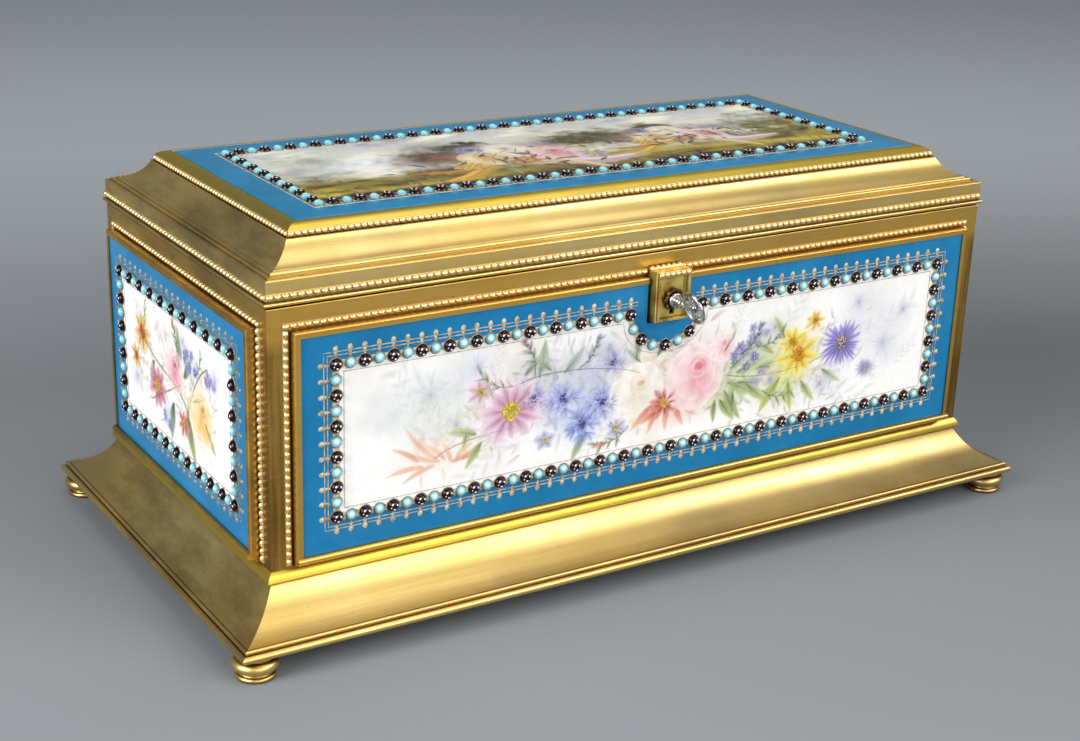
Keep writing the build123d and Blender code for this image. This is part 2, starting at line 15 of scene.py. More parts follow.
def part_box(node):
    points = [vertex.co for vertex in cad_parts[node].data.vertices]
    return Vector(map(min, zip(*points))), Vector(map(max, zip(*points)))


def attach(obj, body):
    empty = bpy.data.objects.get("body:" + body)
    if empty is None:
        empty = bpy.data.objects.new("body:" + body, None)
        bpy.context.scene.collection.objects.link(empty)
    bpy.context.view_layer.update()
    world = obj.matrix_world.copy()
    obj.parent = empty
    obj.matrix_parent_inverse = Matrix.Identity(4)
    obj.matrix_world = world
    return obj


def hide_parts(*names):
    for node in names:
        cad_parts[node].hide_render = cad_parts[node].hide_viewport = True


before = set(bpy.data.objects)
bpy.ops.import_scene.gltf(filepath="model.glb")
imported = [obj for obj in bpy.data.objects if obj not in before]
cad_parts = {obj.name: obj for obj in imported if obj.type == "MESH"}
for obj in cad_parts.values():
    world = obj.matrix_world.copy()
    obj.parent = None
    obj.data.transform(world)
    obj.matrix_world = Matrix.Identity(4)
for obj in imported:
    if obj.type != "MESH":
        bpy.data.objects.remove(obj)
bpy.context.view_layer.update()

bl_info = {
    "name": "Porcelain Jewelry Box",
    "version": (1, 0, 0),
    "blender": (4, 5, 0),
    "location": "3D View > Sidebar > Jewelry Box",
    "description": "Builds the gilt, beaded wire, painted porcelain, lock, key and silk of the box",
    "category": "Add Mesh",
}

SIDES = ("front", "rear", "left", "right")


def node_box(name):
    """A CAD node's lowest and highest corners in millimetres."""
    low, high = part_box(name)
    return np.array(low) * 1000, np.array(high) * 1000


BOARD = node_box("base_board")
SHIFT = (BOARD[0][1] + BOARD[1][1]) / 2
HALF_X = round(node_box("frame_right")[1][0], 2)
HALF_Y = round(node_box("frame_rear")[1][1] - SHIFT, 2)
BASE_TOP = round(node_box("base_moulding_front")[1][2], 2)
CASE_TOP = round(node_box("frame_right")[1][2], 2)
LID_BOTTOM = round(node_box("lid_moulding_front")[0][2], 2)
PLAQUE_FACE = 3.0
LID_FACE = round(node_box("porcelain_lid")[1][2], 2)
KEY_HEIGHT = CASE_TOP - 15.7
PLATE_FACE = 6.9
PLATE_HALF = 6.9
FOOT_PLACE = (160.6, 82.1)
BOARD_INSIDE = 6.5
FLOOR_TOP = 12.6


def half_of(side):
    """Half the length of the case along a side."""
    return HALF_X if side in ("front", "rear") else HALF_Y


def grain_of(side):
    """The axis that a side's lengths run along and are brushed along."""
    return "x" if side in ("front", "rear") else "y"


def owner(side):
    """A plaque's body, the word for it in its pieces' names, and its slot."""
    return ("lid", "lid", "porcelain_lid") if side == "top" else ("case", side, "porcelain_blue")


def tint(red, green, blue):
    """A linear colour from the 0 to 255 numbers of a colour picker."""
    c = np.array([red, green, blue], float) / 255.0
    return tuple(np.where(c <= 0.04045, c / 12.92, ((c + 0.055) / 1.055) ** 2.4).tolist())


def shade(*picked):
    """The same colour as an array."""
    return np.array(tint(*picked))


# Sizes and colours


def length(label, description, millimetres):
    """A size that the user can change, given in millimetres and kept in metres."""
    return bpy.props.FloatProperty(
        name=label, description=description, default=millimetres / 1000, min=0.0, precision=5, unit="LENGTH"
    )


def colour(label, description, *picked):
    """A colour that the user can change, given in a colour picker's numbers."""
    return bpy.props.FloatVectorProperty(
        name=label, description=description, default=tint(*picked), size=3, min=0.0, max=1.0, subtype="COLOR"
    )


class BoxSizes(bpy.types.PropertyGroup):
    """Sizes of the ornament that is built on the CAD frame."""

    pearl_pitch: length("Pearl pitch", "From one bead of the beaded wire to the next", 2.65)
    upper_pearl_pitch: length("Upper pearl pitch", "Bead spacing of the wire round the lid's top", 2.3)
    jewel_pitch: length("Jewel pitch", "From one enamel jewel to the next along a long face", 5.12)
    jewel_rise: length("Jewel rise", "From one enamel jewel to the next up a face", 5.256)
    side_jewel_pitch: length("End jewel pitch", "Jewel spacing along a short face", 5.105)
    lid_jewel_pitch: length("Lid jewel pitch", "Jewel spacing along the lid", 5.06)
    lid_jewel_rise: length("Lid jewel rise", "Jewel spacing across the lid", 4.829)
    turquoise_width: length("Turquoise width", "Across one pale jewel", 3.9)
    plum_width: length("Plum width", "Across one dark jewel", 4.4)
    gilt_line: length("Gilt line", "Width of the painted gilt lines", 0.5)
    tuft_pitch: length("Tuft pitch", "From one button of the silk pads to the next", 27.0)


class BoxColours(bpy.types.PropertyGroup):
    """Colours of the box's finishes."""

    gilt: colour("Gilt", "Gilded brass where it is clean", 240, 213, 144)
    gilt_worn: colour("Gilt in shade", "Gilded brass where it is handled or tarnished", 222, 188, 108)
    gilt_smoke: colour("Smoked gilt", "Greyish brown bloom in wide patches", 164, 138, 96)
    gilt_warm: colour("Warm gilt", "Redder gilding of the frames round the plaques", 238, 198, 106)
    # A saturated yellow for the lid's frame and the sills' fillets, standing partly for gold reflected in
    # gold: painted reflection.
    gilt_yellow: colour("Yellow gilt", "Burnished gilding of the lid's frame", 226, 200, 84)
    # Besides patina, this brown is laid as painted shade in corners and low on the frames.
    gilt_deep: colour("Gilt patina", "Brown patina in the corners of the mouldings", 104, 66, 26)
    pearl: colour("Pearl gilt", "Gilt of the beaded wire", 248, 222, 166)
    blue: colour("Ground blue", "Blue ground of the upright plaques", 16, 118, 168)
    lid_blue: colour("Lid blue", "Blue ground of the lid's plaque", 6, 122, 168)
    reserve: colour("Reserve", "White of the painted panels", 252, 250, 248)
    turquoise: colour("Turquoise", "Pale enamel jewels", 132, 198, 206)
    plum: colour("Plum", "Dark enamel jewels", 14, 4, 10)
    brass: colour("Lock brass", "Drawn brass of the lock and hinges", 214, 176, 98)
    steel: colour("Steel", "Key and bolt", 186, 184, 180)
    wood: colour("Carcass wood", "Boards of the case and lid", 96, 58, 34)
    silk: colour("Silk", "Lining and pads", 168, 196, 218)
    floor: colour("Floor", "Paper that the box stands on", 150, 154, 158)


# Surfaces


def on_side(side, u, v, n):
    """Points of a face's own coordinates in the shared frame, in metres."""
    u, v, n = np.broadcast_arrays(np.asarray(u, float), v, n)
    x, y, z = {
        "front": (u, -HALF_Y - n, v),
        "rear": (-u, HALF_Y + n, v),
        "left": (-HALF_X - n, -u, v),
        "right": (HALF_X + n, u, v),
        "top": (u, v, n),
        "under": (u, -v, -n),
    }[side]
    return np.stack([x, y + SHIFT, z], -1).reshape(-1, 3) / 1000


def grid_faces(rows, columns, close_rows=False, close_columns=False):
    """Quads of a grid of points kept row by row; a closed direction joins its last line to its first."""
    r, c = np.meshgrid(
        np.arange(rows if close_rows else rows - 1),
        np.arange(columns if close_columns else columns - 1),
        indexing="ij",
    )
    below, right = (r + 1) % rows, (c + 1) % columns
    quads = [r * columns + c, r * columns + right, below * columns + right, below * columns + c]
    return np.stack(quads, -1).reshape(-1, 4)


BRICK = np.array([[0, 1, 2, 3], [7, 6, 5, 4], [0, 4, 5, 1], [1, 5, 6, 2], [2, 6, 7, 3], [3, 7, 4, 0]])


def copied(faces, count, points):
    """The faces of count copies of a shape of so many points."""
    return (faces[None] + (np.arange(count) * points)[:, None, None]).reshape(-1, faces.shape[1])


def enclosed(points, faces):
    """Six times the volume that the faces enclose, fanned from their first corners."""
    total = 0.0
    for f in faces:
        a = points[f[:, 0]]
        for k in range(1, f.shape[1] - 1):
            total += np.einsum("ij,ij->", a, np.cross(points[f[:, k]], points[f[:, k + 1]]))
    return total


class Surface:
    """One piece in the making: whole arrays of points, faces and point colours."""

    def __init__(self):
        self.points, self.faces, self.colours, self.count = [], [], [], 0

    def add(self, points, faces, colours=None, closed=False):
        """Takes in more points and faces; a closed shape of negative volume is turned right side out."""
        faces = [faces] if isinstance(faces, np.ndarray) else faces
        if closed and enclosed(points - points.mean(0), faces) < 0:
            faces = [f[:, ::-1] for f in faces]
        self.points.append(points)
        if colours is not None:
            self.colours.append(np.broadcast_to(np.asarray(colours, float), points.shape))
        self.faces += [f + self.count for f in faces]
        self.count += len(points)

    def build(self, name, material, body, slot, stands_for=(), sharp=None):
        """Puts the arrays into a mesh object that rides on a body, with its colours as a paint attribute."""
        mesh = bpy.data.meshes.new(name)
        corners = np.concatenate([f.ravel() for f in self.faces]).astype(np.int32)
        sides = np.concatenate([np.full(len(f), f.shape[1]) for f in self.faces])
        mesh.vertices.add(self.count)
        mesh.vertices.foreach_set("co", np.concatenate(self.points).ravel())
        mesh.loops.add(len(corners))
        mesh.loops.foreach_set("vertex_index", corners)
        mesh.polygons.add(len(sides))
        mesh.polygons.foreach_set("loop_start", (np.cumsum(sides) - sides).astype(np.int32))
        mesh.polygons.foreach_set("use_smooth", np.ones(len(sides), bool))
        mesh.update(calc_edges=True)
        if self.colours:
            tone = np.ones((self.count, 4))
            tone[:, :3] = np.concatenate(self.colours)
            mesh.color_attributes.new("paint", "FLOAT_COLOR", "POINT")
            mesh.attributes["paint"].data.foreach_set("color", tone.ravel())
        if mesh.validate():
            raise ValueError(f"{name}: its mesh needed mending")
        if sharp:
            mesh.set_sharp_from_angle(angle=math.radians(sharp))
        mesh.materials.append(material)
        piece = bpy.data.objects.new(name, mesh)
        bpy.context.scene.collection.objects.link(piece)
        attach(piece, body)
        if stands_for:
            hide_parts(*stands_for)
        return piece


def arc(start, middle, end, steps):
    """Points after start on the circle through three points, whose centre is as far from each of them."""
    (ax, ay), (bx, by), (cx, cy) = start, middle, end
    d = 2 * (ax * (by - cy) + bx * (cy - ay) + cx * (ay - by))
    a2, b2, c2 = ax * ax + ay * ay, bx * bx + by * by, cx * cx + cy * cy
    ox = (a2 * (by - cy) + b2 * (cy - ay) + c2 * (ay - by)) / d
    oy = (a2 * (cx - bx) + b2 * (ax - cx) + c2 * (bx - ax)) / d
    first = math.atan2(ay - oy, ax - ox)
    via = (math.atan2(by - oy, bx - ox) - first) % math.tau
    whole = (math.atan2(cy - oy, cx - ox) - first) % math.tau
    whole -= math.tau if via > whole else 0.0
    turn = first + whole * np.linspace(0, 1, steps + 1)[1:]
    r = math.hypot(ax - ox, ay - oy)
    return np.stack([ox + r * np.cos(turn), oy + r * np.sin(turn)], -1)


def outline(*items, steps=8):
    """A profile from corners and arcs; an arc is (a point on it, its end) and starts at the last point."""
    line = [np.array([items[0]], float)]
    for item in items[1:]:
        if isinstance(item[0], tuple):
            span = math.dist(line[-1][-1], item[1])
            line.append(arc(tuple(line[-1][-1]), item[0], item[1], steps if span < 4 else 3 * steps))
        else:
            line.append(np.array([item], float))
    return np.concatenate(line)


def mitred_length(surface, side, profile):
    """A closed profile of (distance out, height) carried along one side of the box.

    A point of the profile that is d out ends half the side's length plus d from the middle, which is the
    mitre with the next side.
    """
    out, high = profile.T
    end = half_of(side) + out
    ends = np.stack([-end, end])
    k = len(profile)
    loop = np.arange(k)[None]
    surface.add(
        on_side(side, ends, high[None], out[None]),
        [grid_faces(2, k, close_columns=True), loop[:, ::-1], loop + k],
        closed=True,
    )


def turned(profile, around, place):
    """A lathe-turned solid: (radius, height) points swept round an axis, with one point at each pole."""
    angle = np.arange(around) * math.tau / around
    r, h = profile[1:-1].T
    k = len(r)
    x = np.concatenate([[0.0], (r[:, None] * np.cos(angle)).ravel(), [0.0]])
    y = np.concatenate([[0.0], (r[:, None] * np.sin(angle)).ravel(), [0.0]])
    z = np.concatenate([profile[:1, 1], np.repeat(h, around), profile[-1:, 1]])
    ring = np.arange(around)
    after = (ring + 1) % around
    last = 1 + (k - 1) * around
    faces = [
        grid_faces(k, around, close_columns=True) + 1,
        np.stack([np.zeros(around, int), after + 1, ring + 1], -1),
        np.stack([np.full(around, 1 + k * around), last + ring, last + after], -1),
    ]
    return place(x, y, z), faces


def dome_shape(around, rings):
    """Half a ball of radius 1 on its flat: rings of points at equal steps of latitude and one at the top."""
    latitude = np.arange(rings) * math.pi / 2 / rings
    angle = np.arange(around) * math.tau / around
    a = np.append((np.cos(latitude)[:, None] * np.cos(angle)).ravel(), 0.0)
    b = np.append((np.cos(latitude)[:, None] * np.sin(angle)).ravel(), 0.0)
    h = np.append(np.repeat(np.sin(latitude), around), 1.0)
    ring = np.arange(around)
    last = (rings - 1) * around
    cap = np.stack([last + ring, last + (ring + 1) % around, np.full(around, rings * around)], -1)
    return (a, b, h), [grid_faces(rings, around, close_columns=True), cap, ring[None, ::-1]]


def domes(surface, side, u, v, n, wide, tall, proud, colours=None, around=10, rings=3):
    """Many half balls on a face, each stretched to its own half width, half height and rise."""
    (a, b, h), faces = dome_shape(around, rings)
    u, v, n, wide, tall, proud = (
        np.asarray(x, float).reshape(-1, 1) for x in np.broadcast_arrays(u, v, n, wide, tall, proud)
    )
    points = on_side(side, u + wide * a, v + tall * b, n + proud * h)
    count = len(u)
    colours = colours(a, b, h, count).reshape(-1, 3) if colours else None
    surface.add(points, [copied(f, count, len(a)) for f in faces], colours)


def ribbon(surface, side, u, v, width, low, high, closed=False):
    """A flat line of gilt: a path's points moved half a width to each side, standing from low to high.

    The cross-section has four points, the two at the top drawn in a little, and runs the whole path.
    """
    u, v = np.asarray(u, float), np.asarray(v, float)
    if closed:
        du, dv = np.roll(u, -1) - np.roll(u, 1), np.roll(v, -1) - np.roll(v, 1)
    else:
        du, dv = np.gradient(u), np.gradient(v)
    size = np.hypot(du, dv)
    across = np.stack([-dv / size, du / size])
    if closed:
        before = np.stack([u - np.roll(u, 1), v - np.roll(v, 1)])
        after = np.roll(before, -1, axis=1)
        cosine = (before * after).sum(0) / np.hypot(*before) / np.hypot(*after)
        across = across / np.sqrt(np.clip((1 + cosine) / 2, 0.3, 1))
    reach = width / 2 * np.array([-1.0, -0.8, 0.8, 1.0])
    rise = np.array([low, high, high, low])
    points = on_side(
        side, u[:, None] - across[0][:, None] * reach, v[:, None] - across[1][:, None] * reach, rise
    )
    k = len(u)
    faces = [grid_faces(k, 4, close_rows=closed, close_columns=True)]
    if not closed:
        faces += [np.arange(4)[None], np.arange(4)[None, ::-1] + 4 * (k - 1)]
    surface.add(points, faces, closed=True)


def closed_slab(surface, front, back, rows, columns):
    """Two matching grids of points joined round their edges into a closed skin."""
    k = rows * columns
    index = np.arange(k).reshape(rows, columns)
    edge = np.concatenate([index[0, :-1], index[:-1, -1], index[-1, :0:-1], index[:0:-1, 0]])
    after = np.roll(edge, -1)
    rim = np.stack([edge, edge + k, after + k, after], -1)
    quads = grid_faces(rows, columns)
    surface.add(np.concatenate([front, back]), [quads, quads[:, ::-1] + k, rim], closed=True)


# Materials


class Finish:
    """A material being wired. Each call adds one node and gives back an output of it."""

    def __init__(self, name, **fixed):
        self.material = bpy.data.materials.new(name)
        self.material.use_nodes = True
        self.tree = self.material.node_tree
        self.tree.nodes.clear()
        self.shader = self.tree.nodes.new("ShaderNodeBsdfPrincipled")
        out = self.tree.nodes.new("ShaderNodeOutputMaterial")
        self.tree.links.new(self.shader.outputs[0], out.inputs[0])
        for key, value in fixed.items():
            self.shader.inputs[key.replace("_", " ")].default_value = value
        self.coordinates = self.put("ShaderNodeTexCoord", out="Object")

    def put(self, kind, inputs=None, out=0, **settings):
        """A node with its settings; each input is either an output to link or a plain value."""
        node = self.tree.nodes.new(kind)
        for key, value in settings.items():
            setattr(node, key, value)
        for key, value in (inputs or {}).items():
            if isinstance(value, bpy.types.NodeSocket):
                self.tree.links.new(value, node.inputs[key])
            else:
                node.inputs[key].default_value = value
        return node.outputs[out]

    def noise(self, scale, detail=3.0, rough=0.5, vector=None, distortion=0.0):
        """Cloudy noise of so many grains per metre."""
        inputs = {"Vector": vector or self.coordinates, "Scale": scale, "Detail": detail}
        return self.put("ShaderNodeTexNoise", inputs | {"Roughness": rough, "Distortion": distortion})

    def drawn(self, scale, detail=4.0, rough=0.6, distortion=0.0):
        """Noise with its own scale along X, Y and Z, so that a low one draws it out into lines."""
        vector = self.put("ShaderNodeMapping", {"Vector": self.coordinates, "Scale": scale})
        return self.noise(1.0, detail, rough, vector, distortion)

    def ramp(self, value, *stops):
        """Stops of (place, tone), each tone a colour or a grey."""
        node = self.tree.nodes.new("ShaderNodeValToRGB")
        self.tree.links.new(value, node.inputs[0])
        while len(node.color_ramp.elements) < len(stops):
            node.color_ramp.elements.new(0.5)
        for element, (place, tone) in zip(node.color_ramp.elements, stops):
            element.position = place
            tone = (tone,) * 3 if isinstance(tone, (int, float)) else tuple(tone)
            element.color = tone + (1.0,)
        return node.outputs[0]

    def mix(self, share, first, second, blend="MIX"):
        """The first colour blended with the second by a share."""
        node = self.tree.nodes.new("ShaderNodeMix")
        node.data_type, node.blend_type = "RGBA", blend
        for socket, value in ((node.inputs[0], share), (node.inputs[6], first), (node.inputs[7], second)):
            if isinstance(value, bpy.types.NodeSocket):
                self.tree.links.new(value, socket)
            elif isinstance(value, (int, float)):
                socket.default_value = value
            else:
                socket.default_value = tuple(value) + (1.0,)
        return node.outputs[2]

    def product(self, first, second):
        """Two values multiplied."""
        return self.put("ShaderNodeMath", {0: first, 1: second}, operation="MULTIPLY")

    def paint(self):
        """The piece's own point colours."""
        return self.put("ShaderNodeVertexColor", layer_name="paint")

    def corners(self, distance):
        """Ambient occlusion as a share, for painting shade: 0 in the open, towards 1 deep in a corner."""
        occluded = self.put("ShaderNodeAmbientOcclusion", {"Distance": distance}, out="AO", samples=6)
        return self.ramp(occluded, (0.25, 1.0), (0.85, 0.0))

    def bump(self, height, strength, distance, below=None):
        """Small relief, on top of another one if that is given."""
        inputs = {"Height": height, "Strength": strength, "Distance": distance}
        if below:
            inputs["Normal"] = below
        return self.put("ShaderNodeBump", inputs)

    def done(self, **links):
        """Links the shader's inputs and gives back the material."""
        for key, value in links.items():
            self.tree.links.new(value, self.shader.inputs[key.replace("_", " ")])
        return self.material


def once(make):
    """Keeps a finish after its first call, so that pieces share one material."""
    kept = {}

    def fetch(*which):
        if which not in kept:
            kept[which] = make(*which)
        return kept[which]

    return fetch


def tones():
    """The colour settings."""
    return bpy.context.scene.box_colours


def sizes():
    """The size settings in millimetres, by name."""
    held = bpy.context.scene.box_sizes
    return {key: 1000 * getattr(held, key) for key in BoxSizes.__annotations__}


def grain_scale(grain, run, across):
    """Noise scales for lines that are drawn out along X or Y."""
    return (run, across, across) if grain == "x" else (across, run, across)


@once
def gilt(grain, kind="pale"):
    """Satin fire gilding: brushed along one axis, with warm and cool patches, brown patina and painted shade
    in corners.

    The frames' kind is painted darker below the level of the plaques' tops, in upright streaks: painted
    shade; the ends of the box, brushed along Y, carry more brown blotches than its long sides.
    """
    c = tones()
    f = Finish(f"gilt_{kind}_{grain}", Metallic=1.0, Specular_IOR_Level=0.5)
    brushing = f.drawn(grain_scale(grain, 30.0, 2600.0))
    draw_lines = f.drawn(grain_scale(grain, 9.0, 420.0), 3.0)
    patches = f.noise(17.0, 4.0, 0.55)
    specks = f.noise(420.0, 4.0, 0.7)
    warm = kind in ("warm", "aged")
    clean = np.array({"pale": c.gilt, "yellow": c.gilt_yellow}.get(kind, c.gilt_warm))
    worn = np.array(c.gilt_worn) if kind == "pale" else clean * np.array((0.8, 0.72, 0.6))
    base = f.ramp(patches, (0.3, worn), (0.5, 0.5 * clean + 0.5 * worn), (0.66, clean))
    smoke = 0.75 if kind == "pale" else 0.5
    base = f.mix(f.ramp(f.noise(9.0, 5.0, 0.6), (0.46, 0.0), (0.7, smoke)), base, c.gilt_smoke)
    lines = 0.2 if kind != "pale" or grain == "y" else 0.45
    base = f.mix(f.ramp(draw_lines, (0.36, lines), (0.56, 0.0)), base, worn * 0.8)
    if grain == "y" and kind != "yellow":
        blotches = f.drawn((60.0, 22.0, 60.0), 5.0, 0.65)
        base = f.mix(f.ramp(blotches, (0.42, 0.0), (0.6, 0.55)), base, shade(122, 98, 62))
    # Painted shade: below the plaques' tops the frames are painted darker, in upright streaks.
    if kind == "aged":
        height = f.put("ShaderNodeSeparateXYZ", {"Vector": f.coordinates}, out="Z")
        fade = {"From Min": 0.102, "From Max": 0.108, "To Min": 1.0, "To Max": 0.0}
        below = f.put("ShaderNodeMapRange", {"Value": height} | fade)
        painted_low_shade = f.ramp(f.drawn((260.0, 260.0, 16.0)), (0.36, 0.84), (0.62, 0.32))
        base = f.mix(f.product(below, painted_low_shade), base, np.array(c.gilt_deep) * 1.1)
    base = f.mix(f.ramp(brushing, (0.35, 0.2), (0.6, 0.0)), base, worn * 0.8)
    base = f.mix(f.ramp(specks, (0.28, 0.35), (0.36, 0.0)), base, c.gilt_deep)
    # Patina and painted shade: occlusion darkens the corners towards the patina brown.
    base = f.mix(f.corners(0.0045 if warm else 0.0035), base, c.gilt_deep)
    rough = f.ramp(f.product(brushing, patches), (0.12, 0.42), (0.45, 0.3))
    bump = f.bump(brushing, 0.12, 0.0001, f.bump(draw_lines, 0.05, 0.0002))
    return f.done(Base_Color=base, Roughness=rough, Normal=bump)


@once
def plate_gilt():
    """Burnished gilding of the lock plate: bright and worn patches, upright scratches and dark scores."""
    c = tones()
    f = Finish("gilt_plate", Metallic=0.85, Coat_Weight=0.1, Coat_Roughness=0.2)
    lines = f.drawn((2400.0, 2400.0, 40.0))
    scores = f.drawn((520.0, 520.0, 9.0), 2.0, 0.5)
    clean = np.array(c.gilt_yellow) * 0.6 + np.array(c.gilt) * 0.4
    patches = f.noise(150.0, 3.0, 0.6)
    bright = np.minimum(clean * 1.15, 1.0)
    base = f.ramp(patches, (0.36, shade(196, 140, 48)), (0.5, clean * 0.9), (0.64, bright))
    base = f.mix(f.ramp(lines, (0.3, 0.35), (0.55, 0.0)), base, clean * 0.45)
    base = f.mix(f.ramp(scores, (0.34, 0.8), (0.42, 0.0)), base, c.gilt_deep)
    # Painted shade: occlusion darkens the plate's corners towards the patina brown.
    base = f.mix(f.corners(0.002), base, c.gilt_deep)
    rough = f.ramp(lines, (0.3, 0.5), (0.7, 0.3))
    return f.done(Base_Color=base, Roughness=rough, Normal=f.bump(lines, 0.15, 0.0001))


@once
def pearl_gilt():
    """Brighter burnished gilt on the beads, with painted shade between them."""
    c = tones()
    f = Finish("gilt_beaded", Metallic=1.0)
    base = f.ramp(f.noise(900.0, 3.0), (0.35, c.gilt), (0.6, c.pearl))
    # Painted shade between the beads: occlusion darkens the gaps.
    base = f.mix(f.corners(0.0012), base, c.gilt_deep)
    rough = f.ramp(f.noise(1500.0, 2.0), (0.3, 0.48), (0.7, 0.36))
    return f.done(Base_Color=base, Roughness=rough)


@once
def rubbed_gilt(kind):
    """Painted gilding on porcelain: thin, a little rubbed, with a brownish edge.

    It is duller and darker on the ends, which is painted shade, and dull brown on the thin collars round
    the jewels.
    """
    metallic, worn, bright, gloss = {
        "painted_long": (0.15, (142, 126, 100), (214, 200, 172), 0.32),
        # The ends' copy is darker and greyer: painted shade.
        "painted_end": (0.15, (92, 100, 100), (150, 152, 142), 0.32),
        "collars": (0.4, (92, 66, 44), (160, 130, 92), 0.34),
    }[kind]
    f = Finish(f"gilt_{kind}", Metallic=metallic)
    rub = f.noise(700.0, 4.0, 0.65)
    base = f.ramp(rub, (0.35, tint(*worn)), (0.6, tint(*bright)))
    return f.done(Base_Color=base, Roughness=f.ramp(rub, (0.3, 0.5), (0.7, gloss)))


@once
def ground_glaze(which):
    """Blue ground: slightly uneven colour under a smooth glaze with faint orange-peel."""
    c = tones()
    ground = np.array(c.blue if which == "case" else c.lid_blue)
    gloss = 0.35 if which == "case" else 0.18
    f = Finish(f"glaze_blue_{which}", Coat_Weight=0.3 * gloss, Coat_Roughness=0.08, Specular_IOR_Level=gloss)
    cloud = f.noise(38.0, 5.0, 0.6)
    fine = f.noise(900.0, 3.0, 0.6)
    base = f.ramp(cloud, (0.32, ground * 0.84), (0.5, ground), (0.68, ground * 1.1 + 0.012))
    base = f.mix(f.ramp(fine, (0.35, 0.16), (0.6, 0.0)), base, ground * 0.72)
    rough = f.ramp(f.noise(60.0, 3.0), (0.3, 0.12), (0.7, 0.2))
    return f.done(Base_Color=base, Roughness=rough, Normal=f.bump(f.noise(240.0, 2.0), 0.1, 0.0004))


@once
def painted_glaze(which):
    """Painted white porcelain: the brushed colours under a clear glaze, softer on the lid than below."""
    gloss, dull = (0.4, 0.14) if which == "case" else (0.2, 0.28)
    f = Finish(
        f"glaze_painted_{which}", Coat_Weight=0.5 * (gloss - 0.2), Coat_Roughness=0.06,
        Specular_IOR_Level=gloss,
    )
    paint = f.paint()
    speck = f.ramp(f.noise(1400.0, 3.0, 0.6), (0.3, 0.94), (0.6, 1.0))
    base = f.mix(1.0, paint, speck, "MULTIPLY")
    rough = f.ramp(f.noise(70.0, 3.0), (0.3, dull), (0.7, dull + 0.08))
    return f.done(Base_Color=base, Roughness=rough, Normal=f.bump(f.noise(260.0, 2.0), 0.08, 0.0004))


@once
def enamel():
    """Glassy enamel of the jewels, coloured by their own paint."""
    f = Finish("enamel_jewels", Coat_Weight=0.1, Coat_Roughness=0.06, Specular_IOR_Level=0.25)
    paint = f.mix(1.0, f.paint(), f.ramp(f.noise(1300.0, 2.0), (0.35, 0.86), (0.6, 1.0)), "MULTIPLY")
    rough = f.ramp(f.noise(500.0, 2.0), (0.3, 0.1), (0.7, 0.17))
    return f.done(Base_Color=paint, Roughness=rough)


@once
def petal_enamel():
    """Overglaze enamel of the flowers: brushed colour with fine streaks and a soft gloss."""
    f = Finish("enamel_flowers", Coat_Weight=0.25, Coat_Roughness=0.1, Specular_IOR_Level=0.4)
    streak = f.ramp(f.noise(800.0, 3.0, 0.6), (0.3, 0.88), (0.65, 1.0))
    base = f.mix(1.0, f.paint(), streak, "MULTIPLY")
    rough = f.ramp(f.noise(300.0, 2.0), (0.3, 0.2), (0.7, 0.3))
    return f.done(Base_Color=base, Roughness=rough)


@once
def drawn_brass():
    """Drawn brass: fine upright lines, with painted shade in its corners."""
    c = tones()
    f = Finish("brass_drawn", Metallic=1.0)
    lines = f.drawn((3200.0, 3200.0, 60.0), 3.0)
    patches = f.noise(90.0, 4.0, 0.6)
    base = f.ramp(patches, (0.35, np.array(c.brass) * 0.72), (0.62, c.brass))
    # Painted shade: occlusion darkens the corners towards the patina brown.
    base = f.mix(f.corners(0.003), base, c.gilt_deep)
    rough = f.ramp(lines, (0.3, 0.42), (0.7, 0.26))
    return f.done(Base_Color=base, Roughness=rough, Normal=f.bump(lines, 0.15, 0.0001))


@once
def dark_bronze():
    """Cast bronze, nearly black in its hollows from patina and painted shade, and rubbed brown on top."""
    f = Finish("bronze_dark", Metallic=0.9)
    wear = f.noise(520.0, 5.0, 0.65)
    base = f.ramp(wear, (0.35, tint(52, 34, 26)), (0.55, tint(104, 70, 46)), (0.7, tint(160, 118, 74)))
    # Patina and painted shade: occlusion darkens the hollows to near black.
    base = f.mix(f.corners(0.002), base, tint(24, 14, 10))
    rough = f.ramp(wear, (0.3, 0.5), (0.7, 0.3))
    return f.done(Base_Color=base, Roughness=rough, Normal=f.bump(wear, 0.3, 0.0003))


@once
def bright_steel(which):
    """Steel: polished by handling on the key, darker and blued on the spring."""
    c = tones()
    light = np.array(c.steel) if which == "key" else np.array(tint(84, 92, 116))
    f = Finish(f"steel_{which}", Metallic=1.0)
    wear = f.noise(380.0, 5.0, 0.65)
    base = f.ramp(wear, (0.34, light * 0.3), (0.5, light), (0.66, np.minimum(light * 1.6, 0.95)))
    # Painted shade: occlusion darkens the steel in its corners.
    base = f.mix(f.corners(0.0015), base, light * 0.25)
    rough = f.ramp(f.noise(1200.0, 3.0), (0.3, 0.36), (0.7, 0.18))
    return f.done(Base_Color=base, Roughness=rough, Normal=f.bump(wear, 0.1, 0.0002))


@once
def board_wood(grain):
    """Oiled hardwood: growth rings drawn out along the board with fine pores."""
    c = tones()
    tone = np.array(c.wood)
    f = Finish(f"wood_{grain}", Specular_IOR_Level=0.35)
    rings = f.drawn(grain_scale(grain, 7.0, 90.0), distortion=0.6)
    pores = f.drawn(grain_scale(grain, 60.0, 1500.0), 3.0)
    base = f.ramp(rings, (0.3, tone * 0.5), (0.5, tone), (0.7, tone * 1.6))
    base = f.mix(f.ramp(pores, (0.35, 0.5), (0.5, 0.0)), base, tone * 0.3)
    rough = f.ramp(rings, (0.3, 0.6), (0.7, 0.42))
    return f.done(Base_Color=base, Roughness=rough, Normal=f.bump(pores, 0.25, 0.0003))


